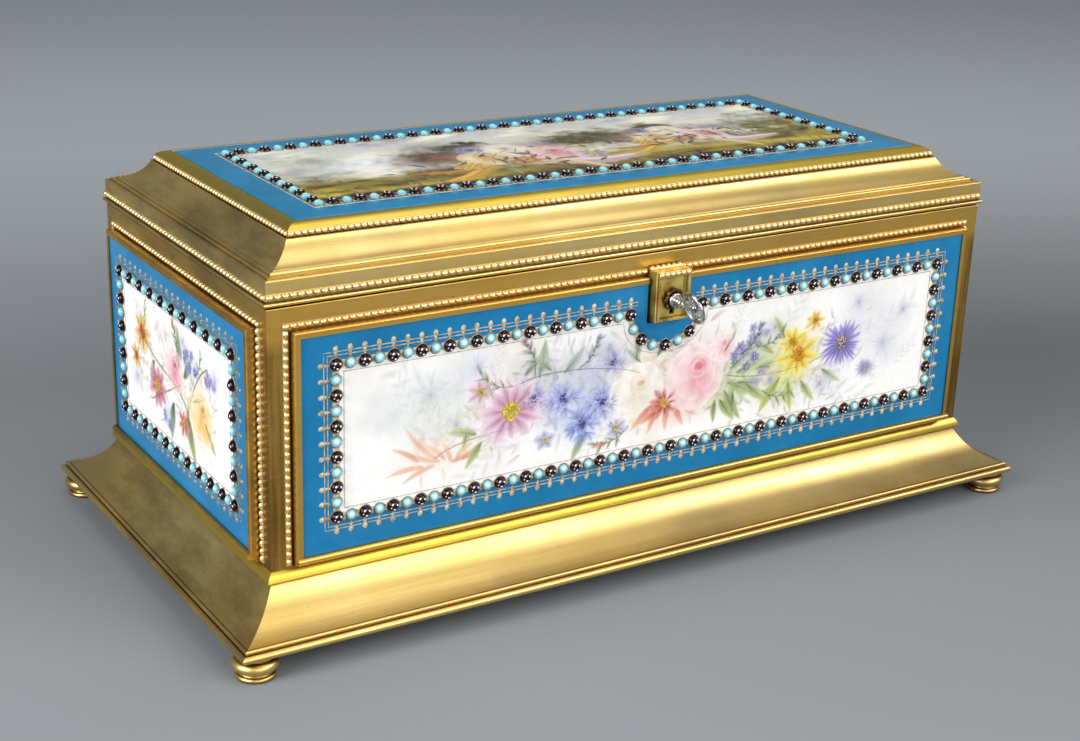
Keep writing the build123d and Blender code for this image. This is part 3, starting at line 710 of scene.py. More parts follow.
@once
def silk_satin():
    """Satin silk: fine crossing threads, slubs and a soft sheen."""
    c = tones()
    tone = np.array(c.silk)
    f = Finish("silk_satin", Sheen_Weight=0.25, Sheen_Roughness=0.3, Specular_IOR_Level=0.6)
    warp = f.drawn((9000.0, 700.0, 9000.0), 2.0)
    weft = f.drawn((700.0, 9000.0, 700.0), 2.0)
    slub = f.drawn((40.0, 900.0, 900.0), 3.0)
    weave = f.put("ShaderNodeMath", {0: warp, 1: weft}, operation="ADD")
    base = f.ramp(f.product(warp, weft), (0.12, tone * 0.74), (0.4, np.minimum(tone * 1.16, 1.0)))
    base = f.mix(f.ramp(slub, (0.35, 0.3), (0.55, 0.0)), base, tone * 0.72)
    rough = f.ramp(warp, (0.3, 0.42), (0.7, 0.28))
    return f.done(Base_Color=base, Roughness=rough, Normal=f.bump(weave, 0.12, 0.0001))


@once
def floor_paper():
    """Grey studio paper with a faint tooth, shaded in a wide soft band behind the box and at its right."""
    c = tones()
    tone = np.array(c.floor)
    f = Finish("floor_paper", Roughness=0.85, Specular_IOR_Level=0.2)
    backwards = {0: f.coordinates, 1: (0.35, 0.937, 0.0)}
    back = f.put("ShaderNodeVectorMath", backwards, out="Value", operation="DOT_PRODUCT")
    near, far = -0.3, 1.2
    depth = f.put("ShaderNodeMapRange", {"Value": back, "From Min": near, "From Max": far})
    places = (near, -0.1, 0.05, 0.15, 0.28, 0.42, 0.6, 0.8, far)
    lights = (0.84, 0.82, 0.72, 0.67, 0.8, 1.06, 1.36, 1.46, 1.44)
    run = far - near
    stops = (((at - near) / run, np.minimum(tone * light, 1.0)) for at, light in zip(places, lights))
    base = f.ramp(depth, *stops)
    beside = {0: f.coordinates, 1: (0.3, 0.0, 0.0)}
    aside = f.put("ShaderNodeVectorMath", beside, out="Value", operation="DISTANCE")
    dusk = f.ramp(aside, (0.03, 0.74), (0.2, 0.87), (0.4, 1.0))
    tooth = f.ramp(f.noise(700.0, 3.0), (0.3, 0.97), (0.7, 1.0))
    base = f.mix(1.0, f.mix(1.0, base, dusk, "MULTIPLY"), tooth, "MULTIPLY")
    return f.done(Base_Color=base, Normal=f.bump(f.noise(900.0, 2.0), 0.06, 0.0004))


# Stage


def soft_lamp(name, place, target, wide, tall, power, tone):
    """An area lamp whose face looks from its place to its target."""
    lamp = bpy.data.lights.new(name, "AREA")
    lamp.shape, lamp.size, lamp.size_y = "RECTANGLE", wide, tall
    lamp.energy, lamp.color = power, tone
    thing = bpy.data.objects.new(name, lamp)
    bpy.context.scene.collection.objects.link(thing)
    thing.location = place
    thing.rotation_euler = (Vector(target) - Vector(place)).to_track_quat("-Z", "Y").to_euler()


def make_stage():
    """Floor, lamps, world and the camera that was solved from the photograph's straight edges.

    The floor is a disc: circles of points at growing reaches, and one point in the middle.
    """
    around = 96
    ring = np.arange(around)
    angle = ring * math.tau / around
    reach = np.concatenate([np.linspace(0.05, 1.0, 20), np.linspace(1.2, 7.0, 16)])
    x = np.append((reach[:, None] * np.cos(angle)).ravel(), 0.0)
    y = np.append((reach[:, None] * np.sin(angle)).ravel(), 0.0)
    points = np.stack([x, y, np.zeros_like(x)], -1)
    middle = np.stack([ring, (ring + 1) % around, np.full(around, len(reach) * around)], -1)
    faces = [grid_faces(len(reach), around, close_columns=True)[:, ::-1], middle]
    mesh = bpy.data.meshes.new("floor")
    mesh.from_pydata(points.tolist(), [], sum((f.tolist() for f in faces), []))
    mesh.materials.append(floor_paper())
    floor = bpy.data.objects.new("floor", mesh)
    bpy.context.scene.collection.objects.link(floor)

    soft_lamp("lamp_key", (0.74, -0.96, 0.76), (0, 0, 0.06), 1.1, 0.36, 9.2, (1.0, 0.995, 0.98))
    soft_lamp("lamp_top", (0.25, -0.1, 1.3), (0, 0, 0.08), 1.2, 0.9, 6.2, (1.0, 0.995, 0.98))
    soft_lamp("lamp_left", (-1.45, -0.3, 0.62), (0, 0, 0.08), 1.0, 1.0, 28.0, (0.97, 0.99, 1.0))
    soft_lamp("lamp_front", (-0.1, -1.55, 0.55), (0, 0, 0.07), 1.4, 0.7, 8.8, (1.0, 0.99, 0.97))

    world = bpy.data.worlds.new("studio")
    world.use_nodes = True
    world.node_tree.nodes["Background"].inputs[0].default_value = tint(128, 131, 135) + (1.0,)
    world.node_tree.nodes["Background"].inputs[1].default_value = 1.0
    bpy.context.scene.world = world

    az, el, roll = (math.radians(a) for a in (-32.641849, 19.826184, 1.964896))
    back = Vector((math.sin(az) * math.cos(el), -math.cos(az) * math.cos(el), math.sin(el)))
    right = (-back).cross(Vector((0, 0, 1))).normalized()
    up = right.cross(-back)
    level = right * math.cos(roll) + up * math.sin(roll)
    head = up * math.cos(roll) - right * math.sin(roll)
    turn = Matrix((level, head, back)).transposed().to_4x4()
    camera = bpy.data.cameras.new("camera")
    camera.sensor_width, camera.lens = 36.0, 60.304162
    camera.clip_start = 0.02
    thing = bpy.data.objects.new("camera", camera)
    bpy.context.scene.collection.objects.link(thing)
    place = Vector((-0.3622707, -0.5592221 + SHIFT / 1000, 0.2908057))
    thing.matrix_world = Matrix.Translation(place) @ turn
    bpy.context.scene.camera = thing
    bpy.context.scene.view_settings.view_transform = "Standard"


# Mouldings, feet and pearls


def base_profile():
    """Fillet, wide hollow, groove and two beads at the lip, back up behind the hollow."""
    reach, lip, rise = 17.9, 8.0, 17.5
    return outline(
        (-2.0, BASE_TOP),
        (0.5, BASE_TOP),
        ((0.85, BASE_TOP - 0.45), (0.5, BASE_TOP - 0.9)),
        (0.3, BASE_TOP - 0.9),
        ((0.36 * reach, lip + 0.49 * rise), (15.1, 12.1)),
        (15.1, 11.8),
        ((16.3, 11.3), (15.8, 10.75)),
        (15.8, 10.5),
        (16.6, 10.5),
        ((reach, 9.25), (16.6, lip)),
        (15.0, lip),
        (15.0, 10.2),
        ((0.28 * reach, lip + 0.395 * rise), (-1.7, BASE_TOP - 1.9)),
        (-2.0, BASE_TOP - 1.9),
    )


def lid_profile():
    """Lip, groove, plain rim, stepped ledge and hollow, down to the hollow back."""
    z, rim, top, cove, inset = LID_BOTTOM, 0.2, LID_BOTTOM + 8.3, LID_BOTTOM + 17.0, 12.8
    return outline(
        (-2.5, z),
        (0.7, z),
        ((1.2, z + 0.65), (0.7, z + 1.3)),
        (-0.1, z + 1.3),
        (-0.1, z + 1.8),
        (rim, z + 1.8),
        (rim, top - 0.4),
        ((rim - 0.12, top - 0.12), (rim - 0.4, top)),
        (rim - 1.4, top),
        (rim - 1.4, top + 0.6),
        (rim - 3.0, top + 0.6),
        ((rim - 3.7, top + 1.5), (rim - 4.4, top + 1.2)),
        (rim - 4.8, top + 1.7),
        ((-0.6 * inset - 1.9, top + 4.2), (-inset, cove - 0.4)),
        (-inset, cove),
        (-16.6, cove),
        (-16.6, cove - 1.6),
        (-15.2, cove - 1.7),
        (-5.9, top - 0.1),
        (-2.5, top - 0.1),
    )


def make_mouldings():
    """The base and lid mouldings, each length brushed along its own run.

    The lid's rear length stays the CAD one, because the hinges are let into it.
    """
    for side in SIDES:
        finish = gilt(grain_of(side))
        base, lid = Surface(), Surface()
        mitred_length(base, side, base_profile())
        base.build(f"base_cavetto_{side}", finish, "case", "gilt", [f"base_moulding_{side}"], sharp=32)
        if side != "rear":
            mitred_length(lid, side, lid_profile())
            lid.build(f"lid_cove_{side}", finish, "lid", "gilt", [f"lid_moulding_{side}"], sharp=32)


def make_sills():
    """A sloping fillet on the band between each plaque's sill and the base.

    Its face runs from the band out to proud, bellied by a sine over its length, and ends in a square step.
    """
    low, rise, proud = BASE_TOP + 0.02, 3.5, 1.85
    t = np.linspace(0, 1, 11)
    belly = np.sin(math.pi * t)
    face = np.stack([0.05 + proud * t + 0.22 * belly, low + rise - (rise - 0.35) * t + 0.12 * belly], -1)
    profile = np.concatenate([[[-0.4, low + rise]], face, [[proud - 0.1, low], [-0.4, low]]])
    for side in SIDES:
        fillet = Surface()
        mitred_length(fillet, side, profile)
        # The yellow gilt is partly a painted reflection of gold in gold.
        fillet.build(f"sill_fillet_{side}", gilt(grain_of(side), "yellow"), "case", "gilt", sharp=30)


def make_rosette():
    """The lobed collar round the keyhole, open below for the bit: a ring whose outer radius waves eight times
    in a turn and whose height is half a sine wave from its inner edge to its outer one."""
    gap, steps, hole = 17, 73, 2.0
    turn = np.radians(np.linspace(gap - 90, 270 - gap, steps))[:, None]
    share = np.concatenate([np.linspace(0, 1, 9), [1.0, 0.0]])[None]
    lobes = np.cos(8 * turn)
    r = hole + (3.95 + 0.4 * lobes - hole) * share
    rise = 0.1 + 0.85 * np.sin(math.pi * np.clip((share - 0.3) / 0.72, 0, 1)) * (0.8 + 0.2 * lobes)
    section = np.arange(share.size)[None]
    rise = np.where(section > 8, -0.1, rise)
    points = on_side("front", r * np.cos(turn), KEY_HEIGHT + r * np.sin(turn), PLATE_FACE + rise)
    skin = grid_faces(steps, share.size, close_columns=True)
    ring = Surface()
    ring.add(points, [skin, section, section[:, ::-1] + share.size * (steps - 1)], closed=True)
    ring.build("keyhole_rosette", dark_bronze(), "case", "lock_brass", sharp=40)


def make_plate_border():
    """A raised edging round the lock plate's two sides and foot: a ribbon along the plate's outline."""
    low, high, half = CASE_TOP - 23.5 + 0.75, CASE_TOP - 7.8, PLATE_HALF - 0.6
    u = np.concatenate([np.full(8, -half), np.linspace(-half, half, 10)[1:-1], np.full(8, half)])
    v = np.concatenate([np.linspace(high, low, 8), np.full(8, low), np.linspace(low, high, 8)])
    edging = Surface()
    ribbon(edging, "front", u, v, 1.0, PLATE_FACE - 0.03, PLATE_FACE + 0.28)
    edging.build("lock_plate_edging", plate_gilt(), "case", "lock_brass", sharp=40)


def make_feet():
    """Four bun feet, turned: foot ring, hollow, bun, neck and a thin collar under the base."""
    r, h = 7.75, 8.0
    profile = outline(
        (0, 0),
        (0.80 * r, 0),
        ((0.87 * r, 0.11 * h), (0.80 * r, 0.22 * h)),
        ((0.72 * r, 0.29 * h), (0.80 * r, 0.36 * h)),
        ((1.0 * r, 0.62 * h), (0.80 * r, 0.86 * h)),
        (0.74 * r, 0.88 * h),
        ((0.79 * r, 0.93 * h), (0.84 * r, 0.94 * h)),
        (0.84 * r, h),
        (0, h),
        steps=6,
    )
    feet = Surface()
    for x in (-FOOT_PLACE[0], FOOT_PLACE[0]):
        for y in (-FOOT_PLACE[1], FOOT_PLACE[1]):
            feet.add(*turned(profile, 40, lambda a, b, c: on_side("top", x + a, y + b, c)), closed=True)
    feet.build("bun_feet", gilt("x"), "case", "gilt", ["feet"], sharp=35)


def bead_row(surface, side, start, end, pitch, level, base, half, proud, upright=False):
    """A row of beads on its wire: half balls at even places, as near to the pitch as a whole number of them
    allows and a little longer than they are wide, on a flat strip."""
    count = max(1, round((end - start) / pitch))
    step = (end - start) / count
    run = start + step * (np.arange(count) + 0.5)
    along, across = 0.5 * step, half * 0.97
    u, v = (level, run) if upright else (run, level)
    wide, tall = (across, along) if upright else (along, across)
    domes(surface, side, u, v, base + 0.16, wide, tall, proud - 0.18)
    path = np.array([start, end])
    flat = np.full(2, level)
    ribbon(surface, side, *((flat, path) if upright else (path, flat)), 2 * half, base - 0.05, base + 0.3)


def make_pearls():
    """Beaded wire: up both stiles and across the top of each face, over the lock, and twice round the lid."""
    s = sizes()
    pitch, wire, proud = s["pearl_pitch"], 1.05, 1.15
    inset, top, low = 5.25, CASE_TOP - 5.3, BASE_TOP + 4.6
    strips = {place: Surface() for place in SIDES + ("lock", "lid_lower", "lid_upper")}
    for side in SIDES:
        row = strips[side]
        half = half_of(side) - inset
        for end in (-1, 1):
            bead_row(row, side, low, top - 2.2, pitch, end * (half - wire), 0.0, wire, proud, upright=True)
        lengths = ((-half, -7.05), (7.05, half)) if side == "front" else ((-half, half),)
        for start, end in lengths:
            bead_row(row, side, start, end, 0.96 * pitch, top - wire, 0.0, wire, proud)

    crest, lock_pitch, lock_half = strips["lock"], 2.3, 6.85
    bead_row(crest, "front", -lock_half, lock_half, lock_pitch, top - 1.06, PLATE_FACE - 0.02, 1.03, 1.0)
    bead_row(crest, "top", -lock_half, lock_half, lock_pitch, -HALF_Y - 1.15, top - 0.02, 1.0, 0.95)

    rim, groove, inset, step = 0.2, LID_BOTTOM + 3.0, 13.9, LID_BOTTOM + 17.05 + wire
    for side in SIDES:
        half = half_of(side)
        bead_row(strips["lid_lower"], side, -half - rim, half + rim, pitch, groove, rim, 1.1, 1.3)
        half -= inset
        bead_row(strips["lid_upper"], side, -half, half, s["upper_pearl_pitch"], step, -inset, wire, wire)

    for place, row in strips.items():
        body = "lid" if place.startswith("lid") else "case"
        node = place.replace("_", "_pearls_") if body == "lid" else f"pearls_{place}"
        stands_for = () if place == "lock" else (node,)
        row.build(f"beaded_wire_{place}", pearl_gilt(), body, "gilt_pearls", stands_for, sharp=40)


# Porcelain

RESERVE_LIFT = 0.05
RESERVE_GAP = 0.9
MIDDLE = 71.5
DIP_HALF, DIP_DEPTH = 15.36, 13.3


def jewel_rows():
    """Each plaque's jewelled rectangle: columns, rows, pitches, middle height and face."""
    s = sizes()
    long_face = (51, 11, s["jewel_pitch"], s["jewel_rise"], MIDDLE, PLAQUE_FACE)
    end_face = (21, 11, s["side_jewel_pitch"], s["jewel_rise"], MIDDLE, PLAQUE_FACE)
    lid_face = (47, 17, s["lid_jewel_pitch"], s["lid_jewel_rise"], 0.0, LID_FACE)
    return {"front": long_face, "rear": long_face, "left": end_face, "right": end_face, "top": lid_face}


def half_spans(side):
    """Half the jewelled rectangle's width and height, its middle height and its face."""
    columns, rows, pitch, rise, middle, face = jewel_rows()[side]
    return (columns - 1) / 2 * pitch, (rows - 1) / 2 * rise, middle, face


def mottled(u, v, size, seed, octaves=4):
    """A soft cloudy pattern from about -1 to 1: cosine waves of random direction, their lengths halving."""
    rng = np.random.default_rng(seed)
    total, weight = 0.0, 0.0
    for octave in range(octaves):
        wave = math.tau * 2**octave / size
        share = 0.62**octave
        for _ in range(6):
            angle, phase = rng.uniform(0, math.tau), rng.uniform(0, math.tau)
            pace = wave * rng.uniform(0.7, 1.4)
            total = total + share * np.cos(pace * (u * math.cos(angle) + v * math.sin(angle)) + phase)
        weight += share
    return total / (weight * 3.0)


def smooth(value, low, high):
    """0 below low, 1 above high and a smooth rise between."""
    t = np.clip((value - low) / (high - low), 0, 1)
    return t * t * (3 - 2 * t)


def over(paint, tone, share):
    """Lays a tone over the paint with a share from 0 to 1 at each point."""
    return paint + (np.asarray(tone) - paint) * np.clip(share, 0, 1)[..., None]


def reserve_grid(side, step):
    """The painted panel's points: u to the jewels at each end, and v between the lower row and the upper one,
    which dips under the lock on the front by a half ellipse, with more columns near the dip's steep ends."""
    half_u, half_v, middle, face = half_spans(side)
    half_u, half_v = half_u - RESERVE_GAP, half_v - RESERVE_GAP
    columns, rows = int(2 * half_u / step) + 1, int(2 * half_v / step) + 1
    u = np.linspace(-half_u, half_u, columns)
    if side == "front":
        wide = DIP_HALF + RESERVE_GAP
        near = np.concatenate([wide - np.geomspace(0.02, 2.0, 14), [wide, wide + 0.02]])
        u = np.sort(np.concatenate([u, near, -near]))
        drop = DIP_DEPTH * np.sqrt(np.clip(1 - (np.abs(u) / wide) ** 2, 0, 1))
    else:
        drop = np.zeros_like(u)
    t = np.linspace(0, 1, rows)[:, None]
    v = middle - half_v + t * (2 * half_v - drop[None])
    return np.broadcast_to(u[None], v.shape).copy(), v, face


def clouds(u, v):
    """A function that gives soft patches from 0 to 1 over these points: mottling, flattened by a factor."""

    def cloud(flat, size, seed, low, high, octaves=4):
        return smooth(mottled(u, flat * v, size, seed, octaves), low, high)

    return cloud


def white_reserve(side, u, v):
    """Warm white with faint grey, lilac and green clouding round the line of the spray, a bell across v."""
    seed, cloud = 11 + SIDES.index(side), clouds(u, v)
    half_u, _, middle, _ = half_spans(side)
    near = np.exp(-(((v - middle - 3) / 16.0) ** 2)) * np.exp(-((u / (0.92 * half_u)) ** 6))
    leafy = cloud(1, 24.0, seed + 80, 0.0, 0.8)
    petal = cloud(1.3, 17.0, seed + 20, 0.0, 0.7, 5)
    grey = near * cloud(1, 42.0, seed, -0.2, 0.8)
    paint = np.broadcast_to(np.array(tones().reserve), u.shape + (3,))
    for tone, share in (
        ((236, 226, 218), cloud(1, 60.0, seed + 40, -0.2, 0.9) * 0.6),
        ((222, 222, 222), grey * 0.85),
        ((204, 202, 220), grey * petal * 0.5),
        ((208, 216, 200), near * leafy * 0.5),
        ((242, 216, 212), near * cloud(1, 26.0, seed + 60, 0.3, 0.9) * 0.4),
    ):
        paint = over(paint, shade(*tone), share)
    return paint


def lid_landscape(u, v):
    """A misty park: pale sky and water, lilac hills, brown and olive thickets, a path and a mossy bank.

    Hills, ground, path and bank are bands whose edges wander by mottling and sines of u; a thicket is an
    ellipse with a mottled edge. At the end the contrast is raised and the whole is warmed.
    """
    cloud, still = clouds(u, v), 0 * v
    sky = np.clip((v + 4) / 42, 0, 1)[..., None]
    hills = 11 + 6 * mottled(u, still, 90.0, 5) + 2 * mottled(u, still, 22.0, 6)
    ground = smooth(-13 + 5 * mottled(u, still, 60.0, 8) - 5 * np.cos(u / 38) - v, -4.0, 6.0)
    path = np.abs(v + 25 - 6 * np.sin(u / 38 + 0.8)) - 2.4
    far_lilac = smooth(mottled(u + 30, 2.4 * v, 52.0, 4), 0.1, 0.9)
    washes = [
        ((244, 238, 234), cloud(2.2, 60.0, 3, 0.0, 0.8) * 0.8),
        ((170, 168, 190), far_lilac * 0.75),
        ((164, 162, 184), smooth(hills - v, -3.0, 6.0) * smooth(v + 6, 0, 14) * 0.8),
        ((226, 220, 224), smooth(-v, -2.0, 8.0) * cloud(2.6, 34.0, 17, -0.2, 0.8) * 0.8),
        ((168, 158, 110), ground * 0.95),
        ((128, 122, 74), ground * cloud(2.5, 30.0, 9, -0.2, 0.7) * 0.85),
        ((198, 186, 128), ground * cloud(3, 26.0, 10, 0.1, 0.8) * 0.7),
        ((150, 106, 78), ground * cloud(2, 19.0, 19, 0.2, 0.8) * 0.7),
        ((210, 194, 152), smooth(-path, -2.0, 1.6) * 0.7),
    ]
    for place, low, wide, tall, seed, tone, light in (
        (-58, -4, 17, 20, 21, (130, 112, 84), (184, 170, 122)),
        (-30, 8, 15, 15, 22, (104, 96, 66), (152, 144, 92)),
        (22, 8, 22, 14, 23, (124, 118, 84), (178, 172, 120)),
        (52, 12, 14, 13, 24, (98, 90, 62), (150, 144, 96)),
        (104, 2, 20, 22, 25, (132, 124, 92), (188, 180, 134)),
    ):
        edge = 0.7 * mottled(u, 1.4 * v, 17.0, seed)
        crown = 1 - ((u - place) / wide) ** 2 - ((v - low) / tall) ** 2 + edge
        washes.append((tone, smooth(crown, -0.1, 0.9) * 0.85))
        washes.append((light, smooth(crown, 0.1, 0.9) * cloud(1, 8.0, seed + 9, 0.0, 0.7) * 0.7))
    bank = -31 + 3.5 * mottled(u, still, 40.0, 31) - v
    washes.append(((96, 92, 58), smooth(bank, -2.5, 3.5) * 0.9))
    washes.append(((150, 136, 84), smooth(bank, -1, 3) * cloud(1, 9.0, 32, 0.0, 0.6) * 0.8))
    paint = shade(238, 232, 232) * (1 - sky) + shade(196, 196, 212) * sky
    for tone, share in washes:
        paint = over(paint, shade(*tone), share)
    paint = paint * (1 + 0.04 * mottled(u, v, 5.0, 33, 2)[..., None])
    return np.clip(0.34 + 1.45 * (paint - 0.44), 0.015, 1.0) * np.array((1.0, 1.03, 0.8))


def jewel_ring(side):
    """Centres and kinds of a plaque's jewels, corner first, pale and dark in turn.

    On the front the row's middle jewels give way to seven at even steps along the dip's half ellipse.
    """
    columns, rows, pitch, rise, middle, _ = jewel_rows()[side]
    i = np.arange(columns)
    j = np.arange(1, rows - 1)
    u0, v0 = -(columns - 1) / 2 * pitch, middle - (rows - 1) / 2 * rise
    top_i = i[(i <= 22) | (i >= 28)] if side == "front" else i
    u = [u0 + i * pitch, u0 + top_i * pitch, np.full(len(j), u0), np.full(len(j), -u0)]
    v = [np.full(len(i), v0), np.full(len(top_i), 2 * middle - v0), v0 + j * rise, v0 + j * rise]
    kind = [i % 2, (top_i + rows - 1) % 2, j % 2, (columns - 1 + j) % 2]
    if side == "front":
        turn = np.linspace(0, math.pi, 2001)
        eu, ev = -DIP_HALF * np.cos(turn), 2 * middle - v0 - DIP_DEPTH * np.sin(turn)
        run = np.append(0, np.cumsum(np.hypot(np.diff(eu), np.diff(ev))))
        at = run[-1] * np.arange(1, 8) / 8
        u.append(np.interp(at, run, eu))
        v.append(np.interp(at, run, ev))
        kind.append(np.arange(1, 8) % 2)
    return np.concatenate(u), np.concatenate(v), np.concatenate(kind)


def make_jewels():
    """Enamel jewels: low domes, pale turquoise and dark plum in turn, each in a thin gilt ring.

    A dark jewel carries four small light dots: painted glints.
    """
    s, c = sizes(), tones()
    pale, dark = np.array(c.turquoise), np.array(c.plum)

    def painted_dome_light(tone, light, rim, share):
        """Painted shade darker at the rim, the tone on the slope and a soft painted highlight up to one side
        of the top.
        """

        def colours(a, b, h, count):
            low = smooth(h, 0.0, 0.7)[:, None]
            # Painted highlight: a soft light patch up to one side of each dome's top; the rim gets painted
            # shade.
            painted_highlight = smooth(-((a + 0.15) ** 2 + (b - 0.25) ** 2), -0.4, -0.02)[:, None]
            one = rim * (1 - low) + tone * low
            one = one + (light - one) * painted_highlight * share
            return np.broadcast_to(one, (count,) + one.shape)

        return colours

    def painted_glint(a, b, h, count):
        """One pale rose for every point: the colour of the painted glints."""
        return np.broadcast_to(shade(255, 238, 242), (count, len(a), 3))

    for side in SIDES + ("top",):
        body, name, slot = owner(side)
        u, v, kind = jewel_ring(side)
        kind = 1 - kind if side == "top" else kind
        face = half_spans(side)[3] + 0.03
        jewels = Surface()
        # Each kind gets its tone, a painted highlight's colour and a darker rim colour for painted shade.
        for which, width, colours in (
            (1, s["turquoise_width"], painted_dome_light(pale, shade(232, 250, 250), pale * 0.32, 0.75)),
            (0, s["plum_width"], painted_dome_light(dark, shade(46, 16, 32), dark * 0.5, 0.5)),
        ):
            at = kind == which
            half = width / 2
            domes(jewels, side, u[at], v[at], face, half, half, 0.42 * width, colours, around=12, rings=4)
        # Painted glints on each dark jewel: four small pale domes near its top.
        at, half = kind == 0, s["plum_width"] / 2
        for a, b, size in (
            (-0.34, 0.34, 0.52), (0.36, 0.2, 0.46), (-0.05, -0.42, 0.44), (-0.55, -0.18, 0.26)
        ):
            level = face + 0.84 * half * math.sqrt(1 - a * a - b * b) - 0.08
            cu, cv = u[at] + a * half, v[at] + b * half
            domes(jewels, side, cu, cv, level, size, size, 0.16, painted_glint, around=6, rings=2)
        jewels.build(f"jewels_{name}", enamel(), body, slot, sharp=70)

        collars = Surface()
        angle = np.arange(12) * math.tau / 12
        a, b = np.cos(angle), np.sin(angle)
        half = np.where(kind == 1, s["turquoise_width"], s["plum_width"])[:, None, None] / 2
        ring = np.array([1.13, 1.1, 0.9])[:, None]
        rise = np.array([0.0, 0.14, 0.14])[:, None] + face
        cu = u[:, None, None] + half * ring * a[None]
        cv = v[:, None, None] + half * ring * b[None]
        points = on_side(side, cu, cv, rise[None] + 0 * cu)
        collars.add(points, copied(grid_faces(3, 12, close_columns=True), len(u), 36))
        collars.build(f"jewel_collars_{name}", rubbed_gilt("collars"), body, "gilt")


def gilt_path(half_u, half_v, grow, dipped):
    """A closed path round the jewelled rectangle, moved out by grow, anticlockwise, with points along its
    sides; its upper side can dip under the lock by a half ellipse that is moved with it."""
    t = np.linspace(0, 1, 25)[:-1]
    u, v, still = half_u + grow, half_v + grow, np.ones(24)
    foot = [-u + 2 * u * t, -v * still]
    rise = [u * still, -v + 2 * v * t]
    fall = [-u * still, v - 2 * v * t]
    if dipped:
        wide, turn = DIP_HALF - grow, np.linspace(0, math.pi, 41)
        right = [u + (wide - u) * t, v * still]
        under = [wide * np.cos(turn), v - DIP_DEPTH * np.sin(turn)]
        left = [-wide + (wide - u) * t[1:], v * still[1:]]
        return np.concatenate([foot, rise, right, under, left, fall], 1)
    return np.concatenate([foot, rise, [u - 2 * u * t, v * still], fall], 1)


def open_path(half_u, half_v, grow, stop):
    """Half of an outer line of the front: from beside the lock to a corner, down and back to the middle."""
    t = np.linspace(0, 1, 12)
    u, v = half_u + grow, half_v + grow
    top = [stop + (u - stop) * t, np.full(12, v)]
    fall = [np.full(10, u), v * (1 - 2 * t[1:-1])]
    return np.concatenate([top, fall, [u * (1 - t), np.full(12, -v)]], 1)


def add_tabs(lines, side, low, high):
    """A tab outside each jewel: a tapering stem of eight points that points outwards, with a small bead
    on it and a larger one, longer than it is wide, at its end."""
    columns, rows, pitch, rise, middle, _ = jewel_rows()[side]
    half_u, half_v = half_spans(side)[:2]
    i, j, beside_lock = np.arange(columns), np.arange(rows) * rise - half_v, 12.5
    top = i[np.abs((i - (columns - 1) / 2) * pitch) > beside_lock] if side == "front" else i
    u = np.concatenate(
        [i * pitch - half_u, top * pitch - half_u, np.full(rows, -half_u), np.full(rows, half_u)]
    )
    v = np.concatenate([np.full(columns, -half_v), np.full(len(top), half_v), j, j])
    counts = [columns, len(top), rows, rows]
    out_u, out_v = np.repeat([0, 0, -1, 1], counts), np.repeat([-1, 1, 0, 0], counts)
    aside = np.array([-0.3, 0.3, 0.24, -0.24] * 2)
    out = np.array([2.3] * 4 + [4.8] * 4)
    level = np.array([low, low, high + 0.06, high + 0.06] * 2)
    stem_u = u[:, None] + out_u[:, None] * out + out_v[:, None] * aside
    stem_v = v[:, None] + out_v[:, None] * out - out_u[:, None] * aside + middle
    points = on_side(side, stem_u, stem_v, level)
    one = points[:8] - points[:8].mean(0)
    stem = BRICK[:, ::-1] if enclosed(one, [BRICK]) < 0 else BRICK
    lines.add(points, copied(stem, len(u), 8))
    long, short = 1.15, 0.95
    wide, tall = np.where(out_u != 0, long, short), np.where(out_u != 0, short, long)
    for at, half_wide, half_tall, proud in ((5.15, wide, tall, 0.5), (3.6, 0.62, 0.62, 0.34)):
        place = (u + at * out_u, v + at * out_v + middle)
        domes(lines, side, *place, low, half_wide, half_tall, proud, around=8, rings=2)


def make_gilding():
    """Painted gilt: one line inside the jewels, a band under them, one or two lines outside, and tabs."""
    wide, beside_lock = sizes()["gilt_line"], 12.4
    upright = ((-2.75, 0.6 * wide), (0.0, 2.5), (3.0, 0.7 * wide), (4.2, 0.7 * wide))
    lid = ((-2.9, 0.6 * wide), (0.0, 2.5), (2.9, 0.8 * wide))
    for side in SIDES + ("top",):
        body, name, _ = owner(side)
        half_u, half_v, middle, face = half_spans(side)
        lines = Surface()
        low, high = face - 0.02, face + 0.12
        for grow, width in lid if side == "top" else upright:
            if side == "front" and grow > 2:
                u, v = open_path(half_u, half_v, grow, beside_lock)
                for end in (-1, 1):
                    ribbon(lines, side, end * u, v + middle, width, low, high)
            else:
                u, v = gilt_path(half_u, half_v, grow, side == "front")
                ribbon(lines, side, u, v + middle, width, low, high, closed=True)
        if side != "top":
            add_tabs(lines, side, low, high)
        # The ends' lines take the darker copy of the gilding: painted shade.
        finish = rubbed_gilt("painted_end" if side in ("left", "right") else "painted_long")
        lines.build(f"gilt_lines_{name}", finish, body, "gilt", sharp=50)


# Flowers


LAYER = 0.0025


